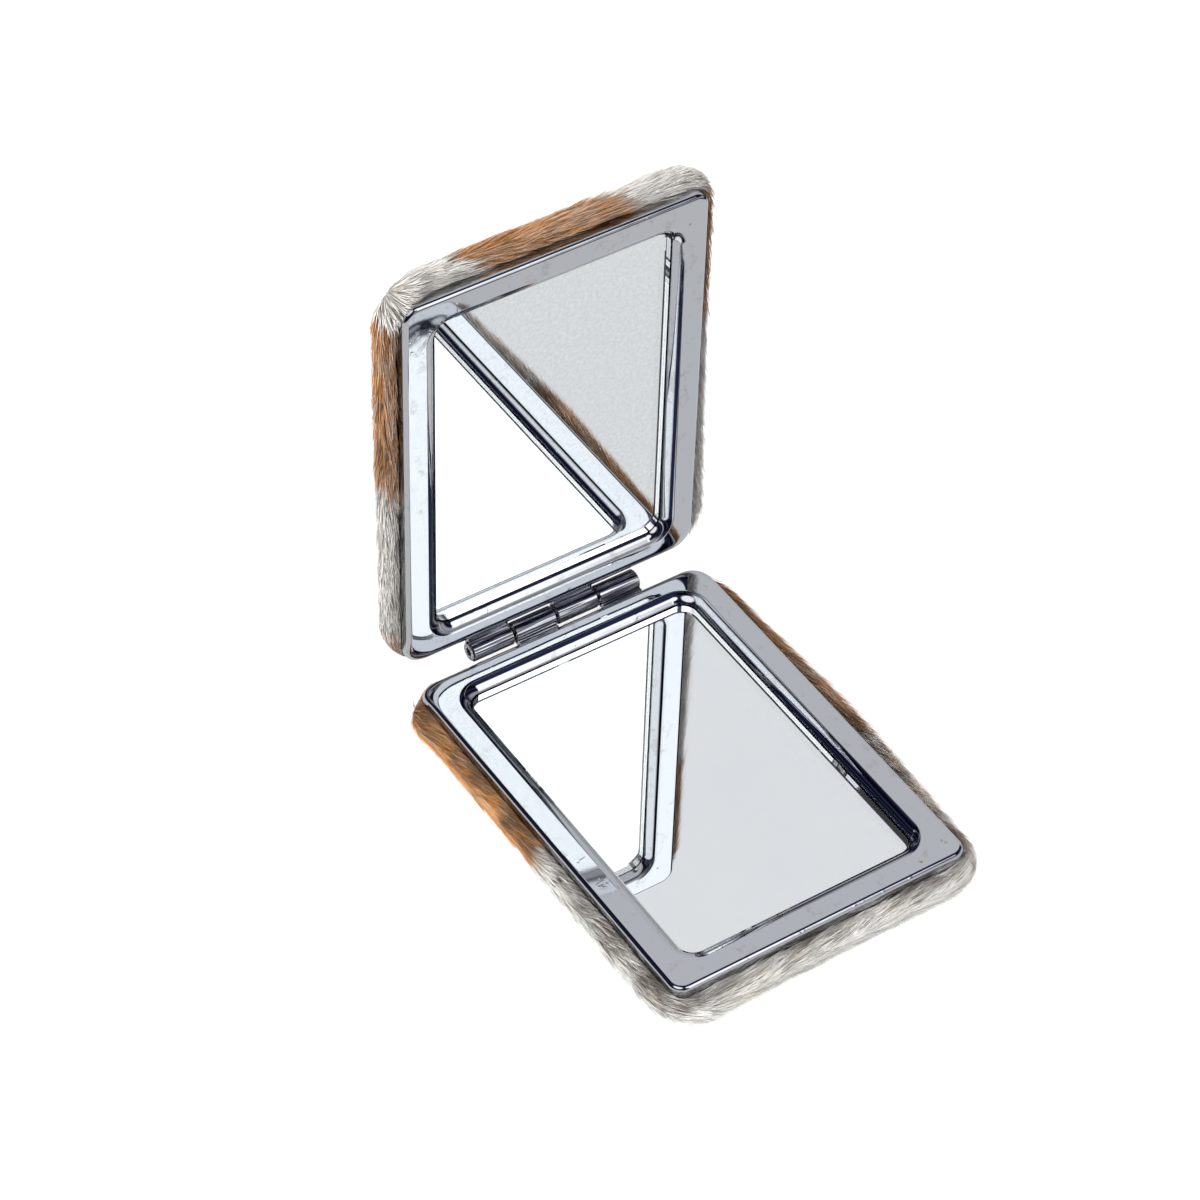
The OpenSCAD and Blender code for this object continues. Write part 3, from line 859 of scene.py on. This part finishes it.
def base_fullness(half, shares):
    """How thick the coat of the base lies, with 1 as the common thickness."""
    left, right, front, back, crown = shares
    y = half[:, 1] + AXIS_Y
    front_corner = bump_of(away_from(BASE_FULL_CORNER, half), 0, 11)
    back_corner = bump_of(away_from(BASE_HINGE_CORNER, half), 0, 6)
    full = left * (0.45 + 0.5 * soft_step(-y, 5, 40)) + right * (1.0 + 0.5 * bump_of(y, -5, 24))
    return full + front * 0.95 + back * 0.8 + crown * 0.8 + 0.85 * front_corner + 0.3 * back_corner


def lid_fullness(half, shares):
    """The same for the lid."""
    left, right, front, back, crown = shares
    x, z = -half[:, 0], AXIS_Z - half[:, 1]
    full = right * (0.3 + 0.45 * soft_step(z, 50, 60)) + left * (1.4 + 0.3 * soft_step(-z, -45, 50))
    full += front * (0.6 + 0.3 * soft_step(x, 5, 20))
    return full + back * 0.7 + crown * 0.8


FLOW = {"base": base_flow, "lid": lid_flow}
FULLNESS = {"base": base_fullness, "lid": lid_fullness}
TINT = {"base": base_tint, "lid": lid_tint}
# How strong the painted shade under the lip is, and the side that lies smooth, which faces +X at rest
EDGE_SHADE = {"base": 1.0, "lid": 0.5}
SMOOTH_SIDE = {"base": 1, "lid": 0}


def strand(name, length, bend, width, guard):
    """A bent hair of three sides that ends in a point, rooted at the origin and rising along Z."""
    points, faces, along = [], [], []
    for i in range(STRAND_STEPS):
        t = i / STRAND_STEPS
        w = width * (1 - 0.55 * t)
        for j in range(3):
            angle = 2 * pi * j / 3
            points.append((w * cos(angle) - bend * t * t, w * sin(angle), length * t))
            along.append(t)
    points.append((-bend, 0, length))
    along.append(1.0)
    for i in range(STRAND_STEPS - 1):
        for j in range(3):
            k = (j + 1) % 3
            faces.append((3 * i + j, 3 * i + k, 3 * i + 3 + k, 3 * i + 3 + j))
    last = 3 * (STRAND_STEPS - 1)
    faces += [(last + j, last + (j + 1) % 3, last + 3) for j in range(3)]
    mesh = bpy.data.meshes.new(name)
    mesh.from_pydata([tuple(p) for p in np.asarray(points) * MM], [], faces)
    store(mesh, "along", along)
    store(mesh, "guard", [guard] * len(points))
    mesh.polygons.foreach_set("use_smooth", [True] * len(mesh.polygons))
    return bpy.data.objects.new(name, mesh)


# Length, bend and half width of each kind of hair. Real hair is finer, and this is as coarse as shows.
SHORT_HAIRS = [(4.6, 0.35, 0.075), (5.4, 0.6, 0.07), (3.8, 0.2, 0.08), (4.4, 0.5, 0.075), (3.4, -0.3, 0.08)]
GUARD_HAIR = (8.5, -0.9, 0.055)


def strands_collection():
    """The hairs that the coat repeats."""
    strands = bpy.data.collections.new("Strands")
    bpy.context.scene.collection.children.link(strands)
    for i, sizes in enumerate(SHORT_HAIRS):
        strands.objects.link(strand(f"strand_{i}", *sizes, guard=0.0))
    strands.objects.link(strand("guard_hair", *GUARD_HAIR, guard=1.0))
    return strands


def laid_down(tree, scalp):
    """Each point of the hair drawn to within a coat's height of the scalp, and out of it."""
    full = add(tree, "GeometryNodeInputNamedAttribute", {"Name": "fullness"}, data_type="FLOAT").outputs[0]
    height = add(tree, MATH, (full, COAT_H * MM), 0, operation="MULTIPLY")
    place = add(tree, "GeometryNodeInputPosition").outputs[0]
    near = add(tree, "GeometryNodeProximity", {0: scalp}, target_element="FACES")
    normal = add(tree, "GeometryNodeInputNormal").outputs[0]
    out = add(
        tree, "GeometryNodeSampleNearestSurface", {"Mesh": scalp, "Value": normal}, data_type="FLOAT_VECTOR"
    ).outputs[0]
    nearest, away = near.outputs[0], near.outputs[1]
    offset = add(tree, VECTOR, (place, nearest), 0, operation="SUBTRACT")
    fall = add(tree, MATH, (away, height), 0, operation="DIVIDE")
    fall = add(tree, MATH, (fall, -1.0), 0, operation="MULTIPLY")
    fall = add(tree, MATH, (fall,), 0, operation="EXPONENT")
    kept = add(tree, MATH, (1.0, fall), 0, operation="SUBTRACT")
    kept = add(tree, MATH, (kept, height), 0, operation="MULTIPLY")
    never_zero = 1e-7
    before = add(tree, MATH, (away, never_zero), 0, operation="MAXIMUM")
    share = add(tree, MATH, (kept, before), 0, operation="DIVIDE")
    above = add(tree, VECTOR, {0: offset, "Scale": share}, 0, operation="SCALE")
    below = add(tree, VECTOR, {0: out, "Scale": SCALP_CLEAR * MM}, 0, operation="SCALE")
    inside = add(tree, VECTOR, (offset, out), 1, operation="DOT_PRODUCT")
    inside = add(tree, MATH, (inside, 0.0), 0, operation="LESS_THAN")
    shift = add(tree, "ShaderNodeMix", {0: inside, 4: above, 5: below}, data_type="VECTOR").outputs[1]
    return add(tree, VECTOR, (nearest, shift), 0, operation="ADD")


def coat_tree(strands, material):
    """Geometry Nodes that sow hair on a scalp, turned along its flow."""
    tree = bpy.data.node_groups.new("Coat", "GeometryNodeTree")
    sockets = tree.interface
    sockets.new_socket("Scalp", in_out="INPUT", socket_type="NodeSocketGeometry")
    for name, kind, value in (
        ("Density", "NodeSocketFloat", 4.0e6), ("Lift", "NodeSocketFloat", 0.3),
        ("Stray", "NodeSocketFloat", 0.12), ("Seed", "NodeSocketInt", 1),
    ):
        sockets.new_socket(name, in_out="INPUT", socket_type=kind).default_value = value
    sockets.new_socket("Coat", in_out="OUTPUT", socket_type="NodeSocketGeometry")
    given = add(tree, "NodeGroupInput").outputs
    thick = add(tree, "GeometryNodeInputNamedAttribute", {"Name": "thickness"}, data_type="FLOAT").outputs[0]
    density = add(tree, MATH, (thick, given["Density"]), 0, operation="MULTIPLY")
    sown = add(
        tree, "GeometryNodeDistributePointsOnFaces",
        {"Mesh": given["Scalp"], "Density": density, "Seed": given["Seed"]}, distribute_method="RANDOM",
    )
    place = add(tree, "GeometryNodeInputPosition").outputs[0]
    rooted = add(
        tree, "GeometryNodeStoreNamedAttribute",
        {"Geometry": sown.outputs["Points"], "Name": "root", "Value": place},
        data_type="FLOAT_VECTOR", domain="POINT",
    )
    flow = add(tree, "GeometryNodeInputNamedAttribute", {"Name": "flow"}, data_type="FLOAT_VECTOR").outputs[0]
    normal = sown.outputs["Normal"]
    full = add(tree, "GeometryNodeInputNamedAttribute", {"Name": "fullness"}, data_type="FLOAT").outputs[0]
    lift = add(tree, MATH, (full, given["Lift"]), 0, operation="MULTIPLY")
    lift = add(tree, VECTOR, {0: normal, "Scale": lift}, 0, operation="SCALE")
    heading = add(tree, VECTOR, (flow, lift), 0, operation="ADD")
    tufts = {"Vector": place, "Scale": TUFTS_PER_MM / MM, "Detail": 1.0}
    tuft = add(tree, "ShaderNodeTexNoise", tufts).outputs["Color"]
    tuft = add(tree, VECTOR, (tuft, (0.5, 0.5, 0.5)), 0, operation="SUBTRACT")
    locks = add(tree, "GeometryNodeInputNamedAttribute", {"Name": "locks"}, data_type="FLOAT").outputs[0]
    tuft = add(tree, VECTOR, {0: tuft, "Scale": locks}, 0, operation="SCALE")
    heading = add(tree, VECTOR, (heading, tuft), 0, operation="ADD")
    random = add(
        tree, "FunctionNodeRandomValue",
        {"Min": (-1, -1, -1), "Max": (1, 1, 1), "Seed": given["Seed"]}, data_type="FLOAT_VECTOR",
    ).outputs["Value"]
    stray = add(tree, VECTOR, {0: random, "Scale": given["Stray"]}, 0, operation="SCALE")
    heading = add(tree, VECTOR, (heading, stray), 0, operation="ADD")
    upright = add(tree, "FunctionNodeAlignRotationToVector", {"Vector": heading}, axis="Z")
    turned = add(
        tree, "FunctionNodeAlignRotationToVector",
        {"Rotation": upright.outputs[0], "Vector": normal}, axis="X", pivot_axis="Z",
    )
    seed = add(tree, MATH, (given["Seed"], 7.0), 0, operation="ADD")
    sizes = {2: 0.65, 3: 1.25, "Seed": seed}
    scale = add(tree, "FunctionNodeRandomValue", sizes, 1, data_type="FLOAT")
    pick = add(
        tree, "GeometryNodeCollectionInfo",
        {"Collection": strands, "Separate Children": True, "Reset Children": True},
    ).outputs[0]
    coat = add(
        tree, "GeometryNodeInstanceOnPoints",
        {
            "Points": rooted.outputs[0], "Instance": pick, "Pick Instance": True,
            "Rotation": turned.outputs[0], "Scale": scale,
        },
    )
    real = add(tree, "GeometryNodeRealizeInstances", {"Geometry": coat.outputs[0]})
    laid = laid_down(tree, given["Scalp"])
    combed = add(tree, "GeometryNodeSetPosition", {"Geometry": real.outputs[0], "Position": laid})
    dressed = add(tree, "GeometryNodeSetMaterial", {"Geometry": combed.outputs[0], "Material": material})
    add(tree, "NodeGroupOutput", {"Coat": dressed.outputs[0]})
    return tree


def modifier_value(modifier, name, value):
    """Sets a named input of a Geometry Nodes modifier."""
    items = modifier.node_group.interface.items_tree
    socket = next(i for i in items if i.name == name and i.in_out == "INPUT")
    modifier[socket.identifier] = value


def rounded_distance(x, y):
    """How far a point lies outside the lip's outline, and the way out.

    One corner radius stands for both of the lip's, 2.85 at the front and 3.2 at the hinge side.
    """
    centre_y = (LIP_FRONT + LIP_BACK) / 2
    half_l = (LIP_BACK - LIP_FRONT) / 2
    r = 3.0
    tiny = 1e-6
    qx, qy = np.abs(x) - (LIP_HW - r), np.abs(y - centre_y) - (half_l - r)
    outside = np.hypot(np.maximum(qx, 0), np.maximum(qy, 0))
    distance = outside + np.minimum(np.maximum(qx, qy), 0) - r
    way_x = np.where(outside > 0, np.maximum(qx, 0) / np.maximum(outside, tiny), qx > qy) * np.sign(x)
    way_y = np.where(outside > 0, np.maximum(qy, 0) / np.maximum(outside, tiny), qy >= qx)
    return distance, way_x, way_y * np.sign(y - centre_y)


def comb(points, body):
    """Hair points kept clear of the wall, the rim plane, the hinge and the ground."""
    half = UNPLACE[body](points)
    if body == "lid":
        # The whorl's corner rises to just under the rim
        corner = bump_of(away_from(LID_RAISED_CORNER, half), 0, WHORL_R)
        half[:, 2] += 2.4 * corner * soft_step(half[:, 2], -4.0, 3)
        top = -0.6 + 0.58 * np.sqrt(corner)
    else:
        # A ragged edge below the lip, lower on the left side, where two curls climb it
        uneven = wander(half[:, 0] * 1.5, half[:, 1] * 1.5)
        left = soft_step(-half[:, 0], 32, 1)
        curls = bump_of(half[:, 1], -5, 6) + 0.7 * bump_of(half[:, 1], -24, 3)
        top = np.minimum(-1.9 + 0.5 * uneven + left * (2.1 * curls - 0.9), -0.4)
    half[:, 2] = np.minimum(half[:, 2], top)
    half[:, 1] = np.minimum(half[:, 1], -HINGE_CLEAR)
    distance, way_x, way_y = rounded_distance(half[:, 0], half[:, 1])
    depth = np.clip(-half[:, 2], 0, LIP_R)
    rounding = LIP_R - np.sqrt(LIP_R**2 - (LIP_R - depth) ** 2)
    shallow = half[:, 2] > -COVER_TOP
    push = np.where(shallow, np.maximum(WALL_CLEAR - rounding - distance, 0), 0)
    half[:, 0] += push * way_x
    half[:, 1] += push * way_y
    placed = PLACE[body](half)
    if body == "base":
        placed[:, 2] = np.maximum(placed[:, 2], GROUND_CLEAR)
    return placed


def region_of(normal, centre):
    """Place in REGIONS of the region that each scalp face belongs to, from its normal and centre."""
    region = np.where(centre[:, 0] < 0, 4, 5)
    crown_facing = -0.80
    side = normal[:, 2] > crown_facing
    across = np.abs(normal[:, 0]) >= np.abs(normal[:, 1])
    region[side & across & (normal[:, 0] < 0)] = 0
    region[side & across & (normal[:, 0] >= 0)] = 1
    region[side & ~across & (normal[:, 1] < 0)] = 2
    region[side & ~across & (normal[:, 1] >= 0)] = 3
    return region


# Regions of the coat, and the hairs on each square millimetre
REGIONS = ("left", "right", "front", "hinge_side", "crown_left", "crown_right")
DENSITY = {"left": 9.0, "right": 9.0, "front": 9.0, "hinge_side": 6.0, "crown_left": 4.0, "crown_right": 4.0}


def build_coat(body, outer, tree):
    """The coat of a body, one object for each region."""
    first_seed = 11
    points, faces = loft(outer, caps=False)
    scalp = mesh_object(body + "_scalp", np.asarray(points), faces)
    normals = rows(scalp.data.vertices, "normal")
    centre = np.array([0, (LIP_FRONT + LIP_BACK) / 2, -BELLY_D])
    if np.mean(np.sum(normals * (np.asarray(points) - centre), axis=1)) < 0:
        scalp.data.flip_normals()
        normals = -normals
    regions = region_of(rows(scalp.data.polygons, "normal"), rows(scalp.data.polygons, "center"))
    half = np.asarray(points)
    shares = side_shares(normals)
    flow = FLOW[body](half, shares)
    flow -= normals * np.sum(flow * normals, axis=1)[:, None]
    flow /= np.maximum(np.linalg.norm(flow, axis=1), 1e-6)[:, None]
    flow = PLACE[body](flow) - PLACE[body]([(0, 0, 0)])
    scalp.data.vertices.foreach_set("co", (PLACE[body](half) * MM).ravel())
    # Hair rooted above this line, near the lip, gets painted shade; on the base the line lies lower on the
    # left
    low_line = -3.5
    if body == "base":
        low_line = low_line - (0.9 * shares[0] + 0.5 * wander(half[:, 0] + half[:, 1], half[:, 1]))
    store(scalp.data, "flow", flow, "FLOAT_VECTOR")
    store(scalp.data, "tint", TINT[body](half, shares))
    store(scalp.data, "fullness", FULLNESS[body](half, shares))
    store(scalp.data, "locks", 1.1 - 0.8 * shares[SMOOTH_SIDE[body]])
    store(scalp.data, "edge", soft_step(half[:, 2] - low_line, 0, 1.2) * EDGE_SHADE[body])
    thickness = scalp.data.attributes.new("thickness", "FLOAT", "FACE")
    modifier = scalp.modifiers.new("Coat", "NODES")
    modifier.node_group = tree
    for index, name in enumerate(REGIONS):
        thickness.data.foreach_set("value", (regions == index).astype(float))
        modifier_value(modifier, "Density", DENSITY[name] / MM**2)
        modifier_value(modifier, "Seed", first_seed + index)
        scalp.data.update()
        bpy.context.view_layer.update()
        shown = scalp.evaluated_get(bpy.context.evaluated_depsgraph_get())
        mesh = bpy.data.meshes.new_from_object(shown)
        coat = bpy.data.objects.new(f"{body}_hair_{name}", mesh)
        bpy.context.scene.collection.objects.link(coat)
        combed = comb(rows(mesh.vertices, "co") / MM, body)
        mesh.vertices.foreach_set("co", (combed * MM).ravel())
        mesh.update()
        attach(coat, body)
    bpy.data.objects.remove(scalp)


# Floor, light and camera
def build_floor():
    """A plain pale floor that a camera ray sees as white, with a soft shadow.

    To everything else it is a sheet of pale paper, which fades out from 160 to 420 mm away.
    """
    reach = 3000
    corners = [(-reach, -reach, 0), (reach, -reach, 0), (reach, reach, 0), (-reach, reach, 0)]
    floor = mesh_object("Floor", corners, [(0, 1, 2, 3)])
    material, tree = empty_material("Pale studio floor")
    coords = add(tree, "ShaderNodeTexCoord").outputs["Object"]
    away = add(tree, VECTOR, (coords,), 1, operation="LENGTH")
    sheet = add(tree, STEP, (away, 420 * MM, 160 * MM), 0, **SMOOTH)
    sheet = add(tree, MATH, (sheet, 0.80), 0, operation="MULTIPLY")
    paper = add(tree, "ShaderNodeEmission", {"Color": (1, 1, 1, 1), "Strength": sheet}).outputs[0]
    glow = add(tree, "ShaderNodeEmission", {"Color": (1, 1, 1, 1), "Strength": 0.72}).outputs[0]
    shade = add(tree, "ShaderNodeBsdfDiffuse", {"Color": (0.34, 0.34, 0.34, 1)}).outputs[0]
    seen = add(tree, "ShaderNodeAddShader", {0: glow, 1: shade}).outputs[0]
    camera_ray = add(tree, "ShaderNodeLightPath").outputs["Is Camera Ray"]
    both = add(tree, "ShaderNodeMixShader", {0: camera_ray, 1: paper, 2: seen}).outputs[0]
    add(tree, "ShaderNodeOutputMaterial", {"Surface": both})
    floor.data.materials.append(material)


# Colours of the studio are linear, because a lamp's goes above 1. Navy and black lie in bands.
NAVY, BLACK = (0.030, 0.034, 0.085, 1), (0.004, 0.004, 0.007, 1)
LOW_GREY = (0.50, 0.51, 0.53, 1)
STRIP_WHITE = (1.9, 1.9, 1.9, 1)

# Round cards: direction, reach, soft edge and colour. The last lies over the strip.
CARDS = [
    ((0.75, 0.60, 0.28), 24, 6, (0.72, 0.73, 0.75, 1)),
    ((0.40, 0.58, 0.71), 19, 4, (0.80, 0.80, 0.82, 1)),
    ((0.24, -0.62, 0.75), 13.5, 2, (1.75, 1.75, 1.75, 1)),
]
LEFT_CARD = ((-0.54, -0.32, 0.78), 23, 5, (1.5, 1.5, 1.5, 1))

# Sides of the strip card in front: the axis, and where it starts to show and shows fully
STRIP_SIDES = [("x", 0.26, 0.32), ("x", 0.46, 0.38), ("z", 0.18, 0.30), ("z", 0.84, 0.76)]

# Lamps: name, place, point aimed at, size and watts
LAMPS = [
    ("Key", (300, -350, 650), (0, 0, 30), 500, 6),
    ("Fill", (-560, -150, 330), (0, 0, 40), 500, 10.5),
    ("Rim light", (0, 500, 500), (0, 0, 40), 500, 2.5),
]


def card(tree, sky, direction, aim, reach, edge, colour):
    """A soft round card of light in the sky about a direction, over the sky given."""
    facing = add(tree, VECTOR, (direction, Vector(aim).normalized()), 1, operation="DOT_PRODUCT")
    faint, full = cos(radians(reach + edge)), cos(radians(max(reach - edge, 0)))
    share = add(tree, STEP, (facing, faint, full), 0, **SMOOTH)
    return add(tree, MIX, {0: share, 6: sky, 7: colour}, 2, **COLOUR)


def build_world():
    """White to the camera, and a studio with pale cards over dark surroundings to everything else."""
    world = bpy.data.worlds.new("Studio")
    bpy.context.scene.world = world
    world.use_nodes = True
    tree = world.node_tree
    tree.nodes.clear()
    direction = add(tree, "ShaderNodeTexCoord").outputs["Generated"]
    along_x, along_y, height = add(tree, "ShaderNodeSeparateXYZ", {0: direction}).outputs[:3]
    bands = add(tree, MATH, (height, 0.13), 0, operation="PINGPONG")
    bands = add(tree, STEP, (bands, 0.05, 0.09), 0, **SMOOTH)
    sky = add(tree, MIX, {0: bands, 6: BLACK, 7: NAVY}, 2, **COLOUR)
    low = add(tree, STEP, (height, 0.40, 0.24), 0, **SMOOTH)
    for axis, faint, full in ((along_y, 0.1, -0.3), (along_x, -0.1, 0.2)):
        side = add(tree, STEP, (axis, faint, full), 0, **SMOOTH)
        low = add(tree, MATH, (low, side), 0, operation="MULTIPLY")
    sky = add(tree, MIX, {0: low, 6: sky, 7: LOW_GREY}, 2, **COLOUR)
    for placing in CARDS:
        sky = card(tree, sky, direction, *placing)
    strip = add(tree, MATH, (along_y, 0.0), 0, operation="LESS_THAN")
    for axis, faint, full in STRIP_SIDES:
        side = add(tree, STEP, (along_x if axis == "x" else height, faint, full), 0, **SMOOTH)
        strip = add(tree, MATH, (strip, side), 0, operation="MULTIPLY")
    sky = add(tree, MIX, {0: strip, 6: sky, 7: STRIP_WHITE}, 2, **COLOUR)
    sky = card(tree, sky, direction, *LEFT_CARD)
    camera_ray = add(tree, "ShaderNodeLightPath").outputs["Is Camera Ray"]
    colour = add(tree, MIX, {0: camera_ray, 6: sky, 7: (1, 1, 1, 1)}, 2, **COLOUR)
    lit = add(tree, "ShaderNodeBackground", {"Color": colour, "Strength": 1.0})
    add(tree, "ShaderNodeOutputWorld", {"Surface": lit.outputs[0]})


def build_light(name, place, aim, size, power):
    """A soft area light that mirrors don't show."""
    data = bpy.data.lights.new(name, "AREA")
    data.size = size * MM
    data.energy = power
    light = bpy.data.objects.new(name, data)
    light.location = Vector(place) * MM
    light.rotation_euler = (Vector(aim) - Vector(place)).to_track_quat("-Z", "Y").to_euler()
    light.visible_glossy = False
    light.visible_transmission = False
    bpy.context.scene.collection.objects.link(light)


def build_camera():
    """The camera of the photograph."""
    data = bpy.data.cameras.new("Camera")
    data.lens = CAMERA_LENS
    data.sensor_width = 36
    data.clip_start = 10 * MM
    data.clip_end = 20000 * MM
    camera = bpy.data.objects.new("Camera", data)
    forward = Vector(CAMERA_AIM).normalized()
    level = forward.cross(Vector((0, 0, 1))).normalized()
    upward = level.cross(forward)
    turn = radians(CAMERA_ROLL)
    right = level * cos(turn) + upward * sin(turn)
    up = upward * cos(turn) - level * sin(turn)
    x, y, z = CAMERA_FROM_AXIS
    place = Vector((x, AXIS_Y + y, AXIS_Z + z)) * MM
    camera.matrix_world = Matrix.Translation(place) @ Matrix((right, up, -forward)).transposed().to_4x4()
    bpy.context.scene.collection.objects.link(camera)
    bpy.context.scene.camera = camera


build_camera()
build_world()
build_floor()
for lamp in LAMPS:
    build_light(*lamp)

chrome = chrome_material()
knuckle_chrome_painted_dark = knuckle_material()
glass = glass_material()
silver = silver_material()
skin = skin_material()
hair = hair_material()
# Cells of cut foam, 1.1 mm. The fibres of the tape, 2 mm apart, and of the pressed board, 0.7 mm,
# and the handling marks of plating and steel, 1.4 and 1.1 mm, are drawn as coarse as they show.
foam = plain_material("Polyether foam", "#D8CE94", "#E8E0B0", 0.9, 0.85)
tape = plain_material("Double-sided tape", "#DAD8CE", "#EFEDE4", 0.5, 0.6)
board = plain_material("Grey millboard", "#7C756B", "#9A9284", 1.5, 0.8)
magnet = plain_material("Nickel-plated magnet", "#8F9196", "#A5A7AC", 0.7, 0.25, metallic=1.0)
steel = plain_material("Steel pin", "#7F8187", "#94969C", 0.9, 0.2, metallic=1.0)

# Each half, the bore of its knuckles, and the depth below its rim at which its crown is cut flat
HALVES = [
    ("base", PIN_R, COVER_D - REST_FLAT - REST_TUCK),
    ("lid", PIN_R + PIN_CLEARANCE, COVER_D),
]
coat = coat_tree(strands_collection(), hair)
for body, bore_r, floor in HALVES:
    build_tray(body, bore_r, chrome, knuckle_chrome_painted_dark)
    build_glass(body, glass, silver)
    build_coat(body, build_padding(body, floor, skin, foam), coat)
strands = bpy.data.collections["Strands"]
for piece in list(strands.objects):
    bpy.data.objects.remove(piece)
bpy.data.collections.remove(strands)

# Finishes of the CAD nodes that stay
FINISHES = {"hinge_pin": steel}
for body in ("base", "lid"):
    FINISHES |= {f"{body}_mirror_tape": tape, f"{body}_cover_tape": tape, f"{body}_board": board}
    FINISHES |= {f"{body}_magnet_left": magnet, f"{body}_magnet_right": magnet}
for name, material in FINISHES.items():
    materials = frame["nodes"][name].data.materials
    materials.clear()
    materials.append(material)

bpy.context.scene.view_settings.view_transform = "Standard"
